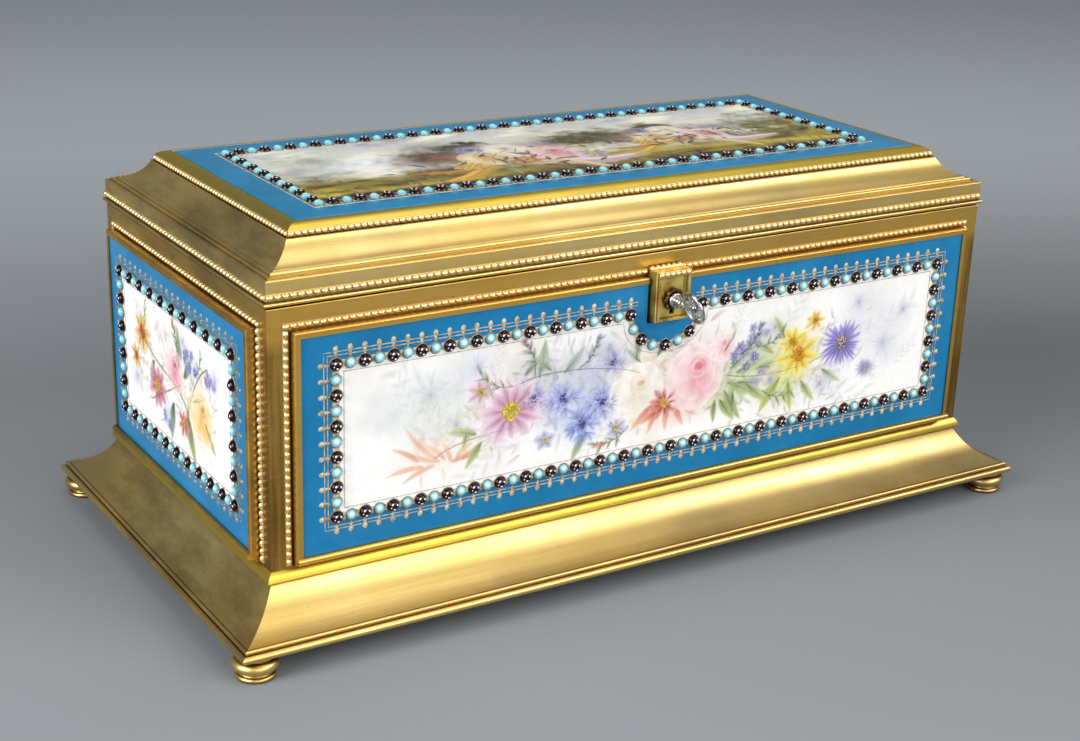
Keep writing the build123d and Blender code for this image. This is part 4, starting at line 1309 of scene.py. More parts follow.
class Painting:
    """One painted panel: colours on a fine grid of points, laid in washes, and raised marks over them."""

    def __init__(self, side, seed):
        self.side, self.rng, self.marks, self.layer = side, np.random.default_rng(seed), Surface(), 0
        self.u, high, face = reserve_grid(side, 0.45 if side == "top" else 0.42)
        self.middle = half_spans(side)[2]
        self.v, self.high = high - self.middle, high
        self.face = face
        self.colour = lid_landscape(self.u, high) if side == "top" else white_reserve(side, self.u, high)
        self.white = np.array(tones().reserve) if side != "top" else shade(206, 198, 180)

    def window(self, u, v, reach):
        """The grid's rows and columns within reach of a point; under the lock's dip, every row above it."""
        low = self.v[0, 0]
        rows = self.u.shape[0] - 1
        share = [(v + step - low) / (-2 * low) for step in (-reach, reach + 1.0)]
        first, last = (int(np.clip(row * rows, 0, rows)) for row in share)
        if self.side == "front" and abs(u) < DIP_HALF + 1 + reach:
            last = rows
        return (slice(first, last + 1), slice(*np.searchsorted(self.u[0], (u - reach, u + reach))))

    def ring(self, count, wobble=None, start=6):
        """Directions all round at even steps from a random one, each off by up to the wobble."""
        turn = self.rng.uniform(0, start) + np.arange(count) * math.tau / count
        return turn if wobble is None else turn + self.rng.uniform(-wobble, wobble, count)

    def scatter(self, count, reach, line, spread):
        """Random places along a garland, spread as a bell about its line(u)."""
        u = self.rng.uniform(-reach, reach, count)
        return u, line(u) + self.rng.normal(0, spread, count)

    def pick(self, *picked, count=None):
        """One of some colours at random, or as many of them as count."""
        return np.array([shade(*one) for one in picked])[self.rng.integers(0, len(picked), count)]

    def strokes(
        self, u, v, turn, long, wide, root, tip,
        full=0.8, blunt=0.6, bend=0.0, pale=0.25, vein=0.0, ink=0.85, soft=0.4,
    ):
        """Petals, leaves and blades laid as washes.

        s runs from a stroke's root to its tip and t from -1 to 1 across it. Half the width is wide / 2 times
        sin(pi s^full)^blunt and the spine bends aside by bend times long times s squared. The wash is ink
        strong, thins out over the last soft of its half width, and its colour runs from root to tip, paler
        at the edges, darker down the vein and streaked along by the brush.
        """
        u, v, turn, long, wide, bend = np.broadcast_arrays(
            *(np.atleast_1d(np.asarray(x, float)) for x in (u, v, turn, long, wide, bend))
        )
        count = len(u)
        root, tip = (np.broadcast_to(np.asarray(x, float).reshape(-1, 3), (count, 3)) for x in (root, tip))
        streak = self.rng.uniform(0, math.tau, count)
        for k in range(count):
            c, d = math.cos(turn[k]), math.sin(turn[k])
            reach = (0.5 + abs(bend[k])) * long[k] + wide[k] / 2 + 0.6
            span = self.window(u[k] + 0.5 * long[k] * c, v[k] + 0.5 * long[k] * d, reach)
            du, dv = self.u[span] - u[k], self.v[span] - v[k]
            s = (du * c + dv * d) / long[k]
            y = dv * c - du * d - bend[k] * long[k] * s * s
            along = np.clip(s, 1e-4, 1 - 1e-4)
            half = np.maximum(wide[k] / 2 * np.sin(math.pi * along**full) ** blunt, 0.06)
            t = np.abs(y) / half
            cover = smooth(half - np.abs(y), -0.2, soft * half + 0.12)
            cover = cover * smooth(long[k] * np.maximum(-s, s - 1), 0.5, 0.0)
            tone = root[k] + (tip[k] - root[k]) * (along * along * (3 - 2 * along))[..., None]
            edge = np.clip(np.clip(t, 0, 1) ** 2.5 * (0.5 + 0.5 * along) + 0.7 * along**6, 0, 1) * pale
            tone = tone + (self.white - tone) * edge[..., None]
            shadow = vein * np.exp(-((t / 0.3) ** 2)) * (1 - 0.5 * along)
            shadow = shadow - 0.07 * np.sin(6.0 * y / half + streak[k]) * (t < 1)
            tone = np.clip(tone * (1 - shadow[..., None]), 0, 1)
            self.colour[span] = over(self.colour[span], tone, ink * cover)

    def wash(self, u, v, wide, tall, tone, ink=0.5, seed=1):
        """A cloudy patch: ink times a bell over the ellipse, broken up by a mottled pattern."""
        span = self.window(u, v, 1.8 * max(wide, tall))
        du, dv = (self.u[span] - u) / wide, (self.v[span] - v) / tall
        broken = 0.75 + 0.5 * mottled(self.u[span], self.v[span], 14.0, seed)
        bell = np.exp(-((du * du + dv * dv) ** 1.4)) * broken
        self.colour[span] = over(self.colour[span], shade(*tone), ink * bell)

    def lines(self, u, v, turn, long, wide, tone, bend=0.0, fade=0.5, rows=6):
        """Fine raised marks: thin blades on the mesh, tapering to both ends, that fade towards the tip."""
        given = (np.atleast_1d(np.asarray(x, float)) for x in (u, v, turn, long, wide, bend))
        u, v, turn, long, wide, bend = (x.reshape(-1, 1, 1) for x in np.broadcast_arrays(*given))
        count = len(u)
        s = np.linspace(0, 1, rows)[None, :, None]
        t = np.array([-1.0, 0.0, 1.0])[None, None]
        x = long * s
        taper = np.maximum(np.sin(math.pi * np.clip(s, 0.02, 0.98)) ** 0.6, 0.1)
        y = wide / 2 * taper * t + bend * long * s * s
        pu = u + x * np.cos(turn) - y * np.sin(turn)
        pv = v + x * np.sin(turn) + y * np.cos(turn)
        step = LAYER * (self.layer + np.arange(count) / count).reshape(-1, 1, 1)
        pn = self.face + RESERVE_LIFT + 0.012 + step + 0.012 * (1 - t * t) + 0 * pu
        tone = np.asarray(tone, float).reshape(-1, 1, 1, 3)
        tone = tone + (self.white - tone) * (fade * s**1.5)[..., None] + 0 * pu[..., None]
        faces = copied(grid_faces(rows, 3)[:, ::-1], count, rows * 3)
        self.marks.add(on_side(self.side, pu, pv + self.middle, pn), faces, tone.reshape(-1, 3))
        self.layer += 1

    def stem(self, points, wide, root, tip):
        """A tapering line along the cubic curve through its points, as a wash and as a fine mark."""
        p = np.asarray(points, float)
        order = min(3, len(p) - 1)
        key = np.linspace(0, 1, len(p))
        s = np.linspace(0, 1, 15)
        u = np.polyval(np.polyfit(key, p[:, 0], order), s)
        v = np.polyval(np.polyfit(key, p[:, 1], order), s)
        turn = np.arctan2(np.diff(v), np.diff(u))
        run = np.hypot(np.diff(u), np.diff(v))
        u, v, s = u[:-1], v[:-1], s[:-1]
        tone = shade(*root) * (1 - s[:, None]) + shade(*tip) * s[:, None]
        self.strokes(u, v, turn, 1.6 * run, 1.3 * wide, tone, tone, 0.9, 0.3, 0.0, 0.2, ink=0.7)
        self.lines(u, v, turn, 1.3 * run, 0.45 * wide * (1 - 0.5 * s), 0.7 * tone, fade=0.0, rows=3)

    def dots(self, u, v, size, tone):
        """Small raised dots, painted lighter towards their tops: a painted highlight."""
        u = np.atleast_1d(u)
        tone = np.broadcast_to(tone, (len(u), 3))
        v, level = np.atleast_1d(v) + self.middle, self.face + RESERVE_LIFT + LAYER * self.layer

        # Painted highlight: each dot is lighter towards its top.
        def lit(a, b, h, count):
            return tone[:, None] * (0.85 + 0.2 * h)[None, :, None]

        domes(self.marks, self.side, u, v, level, size, size, 0.05, lit, around=7, rings=2)
        self.layer += 1

    def dotted_heart(self, u, v, radius, count, size, tone, least, lights):
        """Dots scattered evenly over a round, from the least share of it outwards, darker and lighter."""
        a, r = self.rng.uniform(0, math.tau, count), radius * np.sqrt(self.rng.uniform(least, 1, count))
        tone = shade(*tone) * self.rng.uniform(*lights, (count, 1))
        self.dots(u + r * np.cos(a), v + r * np.sin(a), size, tone)

    # Flowers; each has a place, a size and tones

    def leaf(
        self, u, v, turn, long, wide=0.38, green=(96, 132, 70), light=(168, 190, 120), bend=0.12, ink=0.92
    ):
        """A leaf's wash with a fine midrib and a darker edge on one side."""
        k = max(len(np.atleast_1d(x)) for x in (u, turn, long))
        u, v, turn, long = (np.broadcast_to(np.asarray(x, float), (k,)) for x in (u, v, turn, long))
        jitter = self.rng.uniform(0.9, 1.1, (k, 1))
        dark, pale = shade(*green) * jitter, shade(*light) * jitter
        self.strokes(u, v, turn, long, long * wide, dark, pale, 0.85, 0.9, bend, 0.12, 0.25, ink, 0.35)
        self.lines(u, v, turn, 0.9 * long, 0.3, 0.75 * dark, bend, 0.6)
        self.lines(u, v, turn + 0.3, 0.7 * long, 0.24, 0.85 * dark, bend - 0.3, 0.75)

    def sprig(self, u, v, turn, long, count, green, light, bud=None):
        """A swaying stem with small leaves on both sides by turns, and buds at its tip.

        The leaves stand along the quadratic curve that passes through the stem's middle.
        """
        end_u, end_v = u + long * math.cos(turn), v + long * math.sin(turn)
        sway = 0.14 * long * self.rng.choice([-1, 1])
        mid_u, mid_v = (u + end_u) / 2 - sway * math.sin(turn), (v + end_v) / 2 + sway * math.cos(turn)
        self.stem([(u, v), (mid_u, mid_v), (end_u, end_v)], 0.6, green, light)
        s = np.linspace(0.25, 1.0, count)
        pu, pv = (
            (1 - s) ** 2 * root + 2 * s * (1 - s) * (2 * mid - (root + end) / 2) + s**2 * end
            for root, mid, end in ((u, mid_u, end_u), (v, mid_v, end_v))
        )
        side = np.where(np.arange(count) % 2, 1, -1)
        turns = turn + side * self.rng.uniform(0.4, 0.95, count)
        self.leaf(pu, pv, turns, long * self.rng.uniform(0.24, 0.36, count), 0.36, green, light, 0.1, 0.65)
        if bud:
            self.strokes(pu[-3:], pv[-3:], turn, 2.4, 1.8, shade(*bud), shade(*bud) * 1.1, 0.9, 0.5, ink=0.75)
            self.dots(pu[-3:], pv[-3:] + 0.8, 0.35, shade(*bud) * 0.8)

    def open_flower(
        self, u, v, size, count, inner, outer, heart=(236, 196, 70), wide=0.55, blunt=0.5, full=1.25
    ):
        """A ring of petals with fine lines running out from a dotted heart that is dark in the middle."""
        turn = self.ring(count, 0.1, 1)
        squash = 0.82
        reach = size * self.rng.uniform(0.86, 1.08, count)
        reach = reach * (squash + (1 - squash) * np.abs(np.cos(turn)))
        jitter = self.rng.uniform(0.92, 1.06, (count, 1))
        dark, pale = shade(*inner) * jitter, shade(*outer) * jitter
        for k in (0, 1):
            self.strokes(
                u, v, turn[k::2], reach[k::2], size * wide, dark[k::2], pale[k::2],
                full, blunt, 0.06, 0.5, 0.15,
            )
        root_u, root_v = u + 0.24 * size * np.cos(turn), v + 0.24 * size * np.sin(turn)
        for aside, share in ((-0.16, 0.55), (0.0, 0.7), (0.17, 0.5)):
            self.lines(root_u, root_v, turn + aside, share * reach, 0.26, shade(*inner) * 0.82, 0.05, 0.8)
        self.wash(u, v, 0.27 * size, 0.25 * size, heart, 1.0)
        self.wash(u, v, 0.13 * size, 0.12 * size, tuple(0.55 * x for x in heart), 0.75)
        k, dot = max(12, int(4 * size)), 0.035 * size + 0.06
        self.dotted_heart(u, v, 0.25 * size, k, dot, heart, 0.15, (0.55, 1.15))

    def rose(self, u, v, size, deep, mid, pale):
        """A full rose: a soft ball of colour, broad petals with pale rims round it, and a few curved folds
        about a heart set high.

        A fold follows a circle of radius r: a stroke that starts along its tangent and bends by half its
        length over r; each fold is two such strokes that part at its middle, one each way round.
        """
        self.wash(u, v, 0.95 * size, 0.88 * size, pale, 0.95, 41)
        for count, reach, wide, ink in ((6, 1.04, 1.1, 0.75), (4, 0.74, 1.0, 0.65)):
            turn = self.ring(count, 0.25)
            jitter = self.rng.uniform(0.95, 1.03, (count, 1))
            out = reach * size * self.rng.uniform(0.9, 1.06, count) * (0.9 + 0.1 * np.abs(np.cos(turn)))
            dark, light = shade(*mid) * jitter, shade(*pale) * jitter
            self.strokes(u, v, turn, out, wide * size, dark, light, 2.3, 0.36, 0.0, 0.75, 0.06, ink, 0.3)
        self.wash(u + 0.38 * size, v - 0.42 * size, 0.42 * size, 0.3 * size, mid, 0.55, 43)
        paler = tuple(0.5 * x + 127 for x in pale)
        self.wash(u - 0.42 * size, v + 0.1 * size, 0.3 * size, 0.4 * size, paler, 0.6, 44)
        glint = shade(*pale) + (self.white - shade(*pale)) * 0.6
        hu, hv = u + 0.15 * size, v + 0.27 * size
        self.wash(hu, hv - 0.06 * size, 0.36 * size, 0.26 * size, mid, 0.75, 45)
        for ring, (count, r) in enumerate(((3, 0.4), (3, 0.26), (2, 0.14))):
            share = ring / 2
            turn = self.ring(count, 0.4)
            radius = r * size * self.rng.uniform(0.75, 1.2, count)
            reach = (math.pi / count) * self.rng.uniform(0.55, 0.85, count)
            fold = shade(*mid) * 0.75 * (1 - share) + shade(*deep) * (0.25 + 0.75 * share)
            for inset, wide, tone, ink in ((0.05, 0.2, fold, 0.5), (-0.03, 0.14, glint, 0.4)):
                at, wide = radius - inset * size, wide * size * (1 - 0.3 * share)
                fu, fv = hu + at * np.cos(turn), hv + 0.85 * at * np.sin(turn)
                for way in (-1, 1):
                    aside, bend = turn + way * math.pi / 2, way * reach / 2
                    self.strokes(
                        fu, fv, aside, reach * at, wide, tone, tone, 0.62, 0.6, bend, 0.15, ink=ink, soft=0.8
                    )
        self.wash(hu, hv, 0.13 * size, 0.1 * size, deep, 0.9)
        self.wash(hu + 0.05 * size, hv + 0.04 * size, 0.05 * size, 0.05 * size, (196, 142, 70), 0.8)

    def cornflower(self, u, v, size, deep, light):
        """Trumpet florets in an uneven ring over a haze: each is a thin neck and a fan of three short teeth
        that darken towards their tips."""
        self.wash(u, v, 0.95 * size, 0.8 * size, light, 0.5, int(abs(u)) + 3)
        for count, start, reach in ((8, 0.4, 0.6), (6, 0.14, 0.46)):
            turn = self.ring(count, 0.35)
            root = size * start * self.rng.uniform(0.7, 1.3, count)
            cu, cv = u + root * np.cos(turn), v + 0.85 * root * np.sin(turn)
            jitter = self.rng.uniform(0.82, 1.15, (count, 1))
            tone, far = shade(*deep) * jitter, np.minimum(shade(*light) * jitter, 1.0)
            self.strokes(
                u, v, turn, 1.2 * root, 0.1 * size, tone, tone, 0.9, 0.6, 0.0, 0.1, ink=0.45, soft=0.8
            )
            for aside, share in ((-0.7, 0.75), (0.6, 0.8), (0.0, 1.0)):
                long = size * reach * share * self.rng.uniform(0.65, 1.15, count)
                tip = 0.6 * tone + 0.4 * far
                self.strokes(
                    cu, cv, turn + aside, long, 0.25 * size * share, far, tip,
                    1.3, 0.6, 0.1, 0.2, ink=0.62, soft=0.6,
                )
                self.lines(cu, cv, turn + aside + 0.1, 0.8 * long, 0.26, 0.85 * tone, 0.1, 0.6)
        a, r = self.rng.uniform(0, math.tau, 9), 0.2 * size * self.rng.uniform(0, 1, 9)
        self.wash(u, v, 0.22 * size, 0.2 * size, (96, 70, 150), 0.5)
        self.dots(u + r * np.cos(a), v + r * np.sin(a), 0.05 * size, shade(84, 58, 138))

    def brushwork(self, count, reach, line, spread, palette, ink):
        """Short loose strokes about a garland, so that the gaps between its flowers are never blank. A
        stroke's tone runs through the palette along u; about one in five is greyed."""
        u, v = self.scatter(count, reach, line, spread)
        keys = np.linspace(-reach, reach, len(palette))
        tone = np.stack([np.interp(u, keys, [shade(*entry)[k] for entry in palette]) for k in range(3)], -1)
        tone = tone * self.rng.uniform(0.68, 1.08, (count, 1))
        grey = self.rng.uniform(0, 1, (count, 1)) < 0.18
        tone = np.clip(np.where(grey, 0.4 * tone + 0.6 * shade(200, 196, 190), tone), 0, 1)
        turn = self.rng.uniform(0, math.tau, count)
        long, wide = self.rng.uniform(4, 9, count), self.rng.uniform(1.4, 3.2, count)
        bend = self.rng.uniform(-0.3, 0.3, count)
        self.strokes(u, v, turn, long, wide, tone, 0.5 + 0.5 * tone, 0.9, 0.7, bend, 0.4, ink=ink, soft=0.8)

    def aster(self, u, v, size, deep, light, count):
        """Two rounds of narrow rays about a golden heart."""
        for k, reach in ((count, 1.0), (count - 6, 0.75)):
            turn = self.ring(k, 0.08)
            long = size * reach * self.rng.uniform(0.75, 1.1, k) * (0.8 + 0.2 * np.abs(np.cos(turn)))
            jitter = self.rng.uniform(0.85, 1.15, (k, 1))
            dark, pale = shade(*deep) * jitter, shade(*light) * jitter
            self.strokes(u, v, turn, long, 0.14 * size, dark, pale, 1.2, 0.7, 0.05, 0.25, soft=0.5)
            self.lines(u, v, turn + 0.06, 0.85 * long, 0.24, 0.8 * dark, 0.05, 0.8)
        self.wash(u, v, 0.28 * size, 0.25 * size, (226, 206, 92), 1.0)
        self.dotted_heart(u, v, 0.22 * size, 18, 0.045 * size, (226, 200, 84), 0, (0.6, 1.1))

    def cluster(self, u, v, size, count, tone):
        """Small five-petalled flowers scattered in a round over a haze of their colour."""
        self.wash(u, v, size, 0.75 * size, tuple(0.5 * x + 120 for x in tone), 0.4, int(abs(v)) + 7)
        a, r = self.rng.uniform(0, math.tau, count), size * np.sqrt(self.rng.uniform(0.05, 1, count))
        for cu, cv, grow in zip(
            u + r * np.cos(a), v + 0.7 * r * np.sin(a), self.rng.uniform(1.4, 2.3, count)
        ):
            turn = self.ring(5)
            pale = shade(*tone) * self.rng.uniform(0.85, 1.15)
            self.strokes(cu, cv, turn, grow, grow * 0.8, 0.75 * pale, pale, 1.2, 0.45, 0.0, 0.3, ink=0.75)
            self.dots(cu, cv, 0.26, shade(250, 222, 120))

    def ghost(self, u, v, size):
        """A flower only hinted at, in thin grey-lilac washes."""
        self.wash(u, v, size, 0.8 * size, (222, 222, 230), 0.5, int(abs(u)) + 5)
        turn = self.ring(14)
        long = size * self.rng.uniform(0.5, 1.1, 14)
        grey, pale = shade(196, 196, 216), shade(226, 226, 234)
        self.strokes(u, v, turn, long, 0.24 * size, grey, pale, 1.1, 0.7, 0.1, 0.5, ink=0.42, soft=0.8)
        self.lines(u, v, turn + 0.1, 0.7 * long, 0.2, shade(176, 176, 200), 0.1, 0.8)

    def ghost_leaves(self, u, v, turn, long, count):
        """A spray of grey leaves, on both sides by turns of a line that isn't drawn."""
        s = np.linspace(0.1, 1, count)
        turns = turn + 0.7 * np.where(np.arange(count) % 2, 1, -1)
        u, v = u + s * long * math.cos(turn), v + s * long * math.sin(turn)
        grey, pale = shade(206, 210, 206), shade(226, 228, 224)
        self.strokes(
            u, v, turns, long * 0.36, long * 0.13, grey, pale, 0.9, 0.8, 0.15, 0.5, ink=0.5, soft=0.8
        )

    def accents(self, count, reach, line, spread):
        """Thin dark dabs, scattered like brushwork: twigs, calyxes and the shade between petals."""
        u, v = self.scatter(count, reach, line, spread)
        tone = self.pick(
            (66, 76, 46), (86, 74, 124), (150, 62, 44), (110, 116, 76), (84, 72, 78), count=count
        )
        ranges = ((0, math.tau), (2, 5), (0.6, 1.1), (-0.4, 0.4))
        turn, long, wide, bend = (self.rng.uniform(low, high, count) for low, high in ranges)
        self.strokes(u, v, turn, long, wide, tone, 0.6 * tone + 0.4, 0.8, 0.6, bend, 0.2, ink=0.6, soft=0.6)

    def build(self):
        """The panel's face with its thin edge down to the plaque, and the raised marks as another piece."""
        rows, columns = self.u.shape
        u, v, side, face = self.u, self.high, self.side, self.face
        top, paint = face + RESERVE_LIFT, np.clip(self.colour, 0, 1).reshape(-1, 3)
        panel = Surface()
        panel.add(on_side(side, u, v, top), grid_faces(rows, columns), paint)
        eu, ev = (np.concatenate([x[0, :-1], x[:-1, -1], x[-1, :0:-1], x[:0:-1, 0]]) for x in (u, v))
        skirt = on_side(side, eu, ev, [[face - 0.02], [top]])
        panel.add(skirt, grid_faces(2, len(eu), close_columns=True), np.array(tones().reserve))
        body, name, slot = owner(side)
        panel.build(f"painted_panel_{name}", painted_glaze(body), body, slot)
        self.marks.build(f"flower_marks_{name}", petal_enamel(), body, slot)


def mirrored(flip):
    """What turns a direction about the upright axis where a spray is flipped."""
    return (lambda turn: math.pi - turn) if flip < 0 else (lambda turn: turn)


def long_spray(side, seed, f=1):
    """A loose garland across a long face, on a line that is a sine wave along u.

    Warm leaves lie low at one end, roses near the middle, yellow and violet at the other end and grey-lilac
    hints beyond. An f of -1 flips it.
    """
    b, way = Painting(side, seed), mirrored(f)

    def garland(u):
        return -1 + 5 * np.sin(f * u / 30 + 2.6)

    for u, v, size in (
        (-94, 10, 10), (104, -2, 11), (90, 16, 7), (-76, 17, 7), (113, 10, 6), (-24, 15, 7), (-84, -2, 8),
        (-55, 15, 7), (50, 12, 7), (74, -14, 8),
    ):
        b.ghost(f * u, v, size)
    for u, v, turn, long in (
        (-86, 6, 2.5, 24), (96, 4, 0.4, 22), (54, 12, 0.9, 16), (-42, 14, 2.0, 15), (72, -12, -0.5, 22),
        (-62, -13, 3.6, 22), (30, 12, 1.2, 11), (-100, 4, 2.0, 16), (-20, -14, -2.6, 16), (44, -14, -0.2, 18),
        (-70, 12, 1.3, 12), (110, -12, 0.6, 12),
    ):
        b.ghost_leaves(f * u, v, way(turn), long, 8)
    b.stem([(f * -60, 8), (f * -44, 10), (f * -24, 8), (f * -10, 4)], 0.7, (150, 110, 116), (150, 140, 120))
    b.stem([(f * -92, -13), (f * -82, -9), (f * -62, -7)], 0.6, (206, 150, 116), (160, 170, 110))
    b.stem([(f * 28, -3), (f * 52, -6), (f * 78, -2)], 0.6, (132, 152, 100), (150, 168, 110))
    b.brushwork(
        420, 98, garland, 8.5,
        [
            (226, 208, 186), (222, 212, 172), (222, 178, 180), (172, 174, 206), (216, 204, 156),
            (240, 204, 158), (226, 160, 140), (150, 164, 74), (186, 178, 120), (220, 204, 70),
            (170, 156, 204), (224, 216, 212),
        ][::f],
        0.62,
    )
    b.accents(150, 82, garland, 8.0)
    # warm tongues of leaf, low at the end
    for u, v, turn, long, bend in (
        (-90, -14, 2.95, 17, -0.22), (-91, -13, 2.55, 19, -0.26), (-92, -15, 3.3, 13, 0.2),
        (-88, -14, 2.2, 11, 0.25), (-96, -15, 3.0, 14, 0.22), (-84, -14, 0.9, 8, -0.3),
        (-86, -15, 0.1, 10, 0.28), (-82, -15, 0.5, 9, -0.3), (-98, -13, 2.3, 12, 0.3),
        (-86, -15, 1.7, 8, 0.3),
    ):
        tone = b.pick((216, 128, 84), (228, 156, 112), (206, 112, 80))
        b.strokes(f * u, v, way(turn), long, 2.5, tone, shade(238, 186, 150), 0.75, 0.7, f * bend, 0.5, 0.12)
    # leaves behind the flowers
    for u, v, turn, long, green, light in (
        (-76, -7, 2.8, 12, (150, 170, 84), (206, 214, 130)),
        (-74, -10, -2.3, 11, (136, 160, 80), (200, 208, 124)),
        (-80, -6, -1.9, 7, (150, 168, 90), (210, 214, 140)),
        (-70, 5, 1.9, 12, (140, 166, 104), (200, 214, 150)),
        (-52, 9, 1.3, 14, (112, 142, 96), (172, 192, 140)),
        (-47, 11, 2.4, 11, (120, 148, 104), (180, 196, 148)),
        (-42, 9, 0.7, 12, (116, 144, 104), (178, 194, 150)),
        (-20, 9, 1.9, 9, (110, 142, 106), (176, 196, 152)),
        (-32, -14, -2.2, 12, (126, 156, 104), (190, 206, 146)),
        (-22, -12, -1.2, 10, (120, 150, 96), (186, 202, 140)),
        (-10, 8, 2.3, 9, (96, 150, 120), (160, 198, 164)),
        (-3, 9, 1.0, 9, (90, 146, 112), (156, 196, 156)),
        (29, -6, -0.5, 16, (108, 138, 60), (176, 192, 100)),
        (28, -9, -1.1, 15, (96, 128, 54), (164, 182, 90)),
        (33, -3, 0.2, 15, (120, 148, 74), (186, 200, 112)),
        (27, 6, 0.9, 9, (116, 146, 92), (180, 198, 130)),
        (38, -8, -0.8, 13, (110, 140, 66), (178, 194, 104)),
        (24, -12, -1.7, 9, (118, 140, 70), (184, 196, 110)),
        (54, -8, -2.3, 16, (140, 164, 60), (208, 214, 100)),
        (58, -10, -1.5, 13, (148, 170, 64), (214, 218, 108)),
        (50, 2, 2.5, 13, (156, 174, 66), (220, 222, 112)),
        (55, 7, 2.0, 11, (150, 170, 70), (214, 218, 116)),
        (64, -11, -1.0, 12, (138, 162, 72), (204, 212, 116)),
        (74, -8, -0.7, 12, (126, 154, 88), (190, 204, 130)),
        (49, -3, 3.0, 10, (148, 168, 72), (212, 216, 120)),
        (34, -7, -0.2, 12, (100, 124, 56), (170, 184, 96)),
        (30, -1, 0.5, 13, (112, 134, 70), (176, 190, 108)),
        (42, -3, 0.1, 13, (120, 140, 84), (184, 196, 126)),
        (26, -12, -1.0, 12, (128, 150, 62), (194, 204, 104)),
        (32, -10, -1.6, 10, (104, 128, 50), (168, 186, 90)),
        (-12, 9, 1.4, 10, (92, 146, 116), (158, 196, 158)),
        (-58, 11, 0.6, 10, (124, 146, 92), (190, 202, 140)),
    ):
        b.leaf(f * u, v, way(turn), long, 0.34, green, light)
    for u, v, turn, long, count, *greens in (
        (-54, 10, 1.9, 13, 7, (104, 130, 96), (164, 182, 146), (190, 136, 166)),
        (-62, 8, 2.7, 14, 7, (112, 140, 92), (180, 196, 140)),
        (-36, 10, 0.9, 12, 7, (110, 134, 110), (170, 184, 156), (150, 140, 200)),
        (34, 4, 0.8, 13, 7, (92, 116, 100), (158, 174, 146), (104, 100, 180)),
        (46, -12, -0.2, 14, 7, (122, 148, 96), (188, 204, 138)),
        (-14, -15, 3.5, 14, 7, (124, 144, 92), (188, 200, 134), (224, 130, 104)),
        (42, 6, 0.3, 12, 6, (112, 136, 104), (176, 190, 148), (150, 146, 206)),
    ):
        b.sprig(f * u, v, way(turn), long, count, *greens)
    # hazes of colour behind the flowers, then the flowers, back to front
    for u, v, wide, tall, tone, ink in (
        (-34, 0, 20, 13, (184, 188, 224), 0.75), (-30, 10, 16, 8, (194, 192, 214), 0.65),
        (-50, 9, 13, 8, (184, 196, 160), 0.7), (-12, 3, 12, 10, (228, 216, 188), 0.65),
        (36, -4, 17, 9, (194, 208, 142), 0.75), (24, -9, 10, 7, (176, 194, 118), 0.65),
        (48, 4, 12, 9, (206, 214, 166), 0.6), (4, -12, 13, 6, (242, 184, 154), 0.7),
        (56, -8, 9, 9, (196, 212, 110), 0.65), (-94, 6, 17, 12, (220, 226, 222), 0.7),
        (-80, 14, 14, 7, (222, 222, 232), 0.6), (-92, -12, 14, 6, (250, 226, 208), 0.6),
        (96, 6, 14, 12, (230, 230, 240), 0.6), (76, -12, 13, 7, (236, 232, 236), 0.6),
        (16, 6, 11, 9, (250, 222, 224), 0.5),
    ):
        b.wash(f * u, v, wide, tall, tone, ink, int(abs(u)) + 20)
    b.brushwork(
        230, 76, garland, 7.5,
        [
            (206, 160, 176), (170, 150, 190), (140, 146, 190), (150, 156, 150), (206, 190, 140),
            (214, 150, 120), (150, 160, 90), (130, 146, 84), (176, 176, 96), (196, 184, 90),
            (150, 136, 190),
        ][::f],
        0.42,
    )
    for u, v, size, deep, light in (
        (-54, 2, 6.6, (150, 148, 214), (206, 208, 238)),
        (-22, 10, 6.4, (164, 164, 216), (212, 214, 236)),
        (-26, -4, 9.0, (120, 134, 208), (194, 206, 240)),
        (-42, 0, 9.0, (128, 134, 214), (196, 204, 240)),
        (-34, -11, 8.4, (84, 106, 200), (168, 186, 236)),
    ):
        b.cornflower(f * u, v, size, deep, light)
    b.wash(f * -63, 0, 12, 11, (240, 206, 222), 0.6, 12)
    b.open_flower(f * -63, -1, 13.0, 11, (206, 136, 176), (236, 196, 218), (236, 214, 66), wide=0.46)
    b.open_flower(f * -75, 8, 6.0, 6, (226, 170, 196), (244, 216, 226), (222, 200, 100), wide=0.7)
    b.open_flower(f * -49, -14, 5.0, 5, (160, 160, 220), (210, 212, 240), (232, 214, 120), wide=0.8)
    b.open_flower(f * -19, -15, 5.4, 6, (184, 178, 220), (222, 220, 240), (232, 214, 120), wide=0.7)
    b.rose(f * -11, -3, 11.0, (214, 184, 140), (234, 222, 196), (246, 240, 230))
    for u, v, turn, long in (
        (0, -9, -2.2, 12), (3, -9, -1.8, 11), (6, -10, -1.3, 10), (-3, -9, -2.6, 13), (1, -6, -2.4, 10),
        (9, -10, -0.9, 9), (-1, -12, -2.9, 10),
    ):
        tone = b.pick((206, 70, 40), (224, 104, 62), (186, 52, 36))
        b.strokes(f * u, v, way(turn), long, 3.4, tone, shade(242, 176, 140), 0.8, 0.6, 0.15, 0.4, 0.1)
    b.open_flower(f * 1, -9, 7.4, 9, (188, 52, 36), (230, 120, 78), (240, 186, 96), wide=0.42, blunt=0.7)
    b.rose(f * 14, -1, 13.2, (206, 104, 118), (232, 160, 172), (248, 212, 214))
    b.rose(f * 26, 8, 5.6, (214, 120, 136), (238, 172, 180), (250, 220, 222))
    b.cluster(f * 38, 3, 7.5, 13, (124, 116, 190))
    b.cluster(f * 43, 11, 5.0, 6, (160, 156, 214))
    b.cluster(f * 46, -7, 5.0, 6, (184, 164, 214))
    b.wash(f * 62, 1, 11, 10, (252, 232, 120), 0.55, 9)
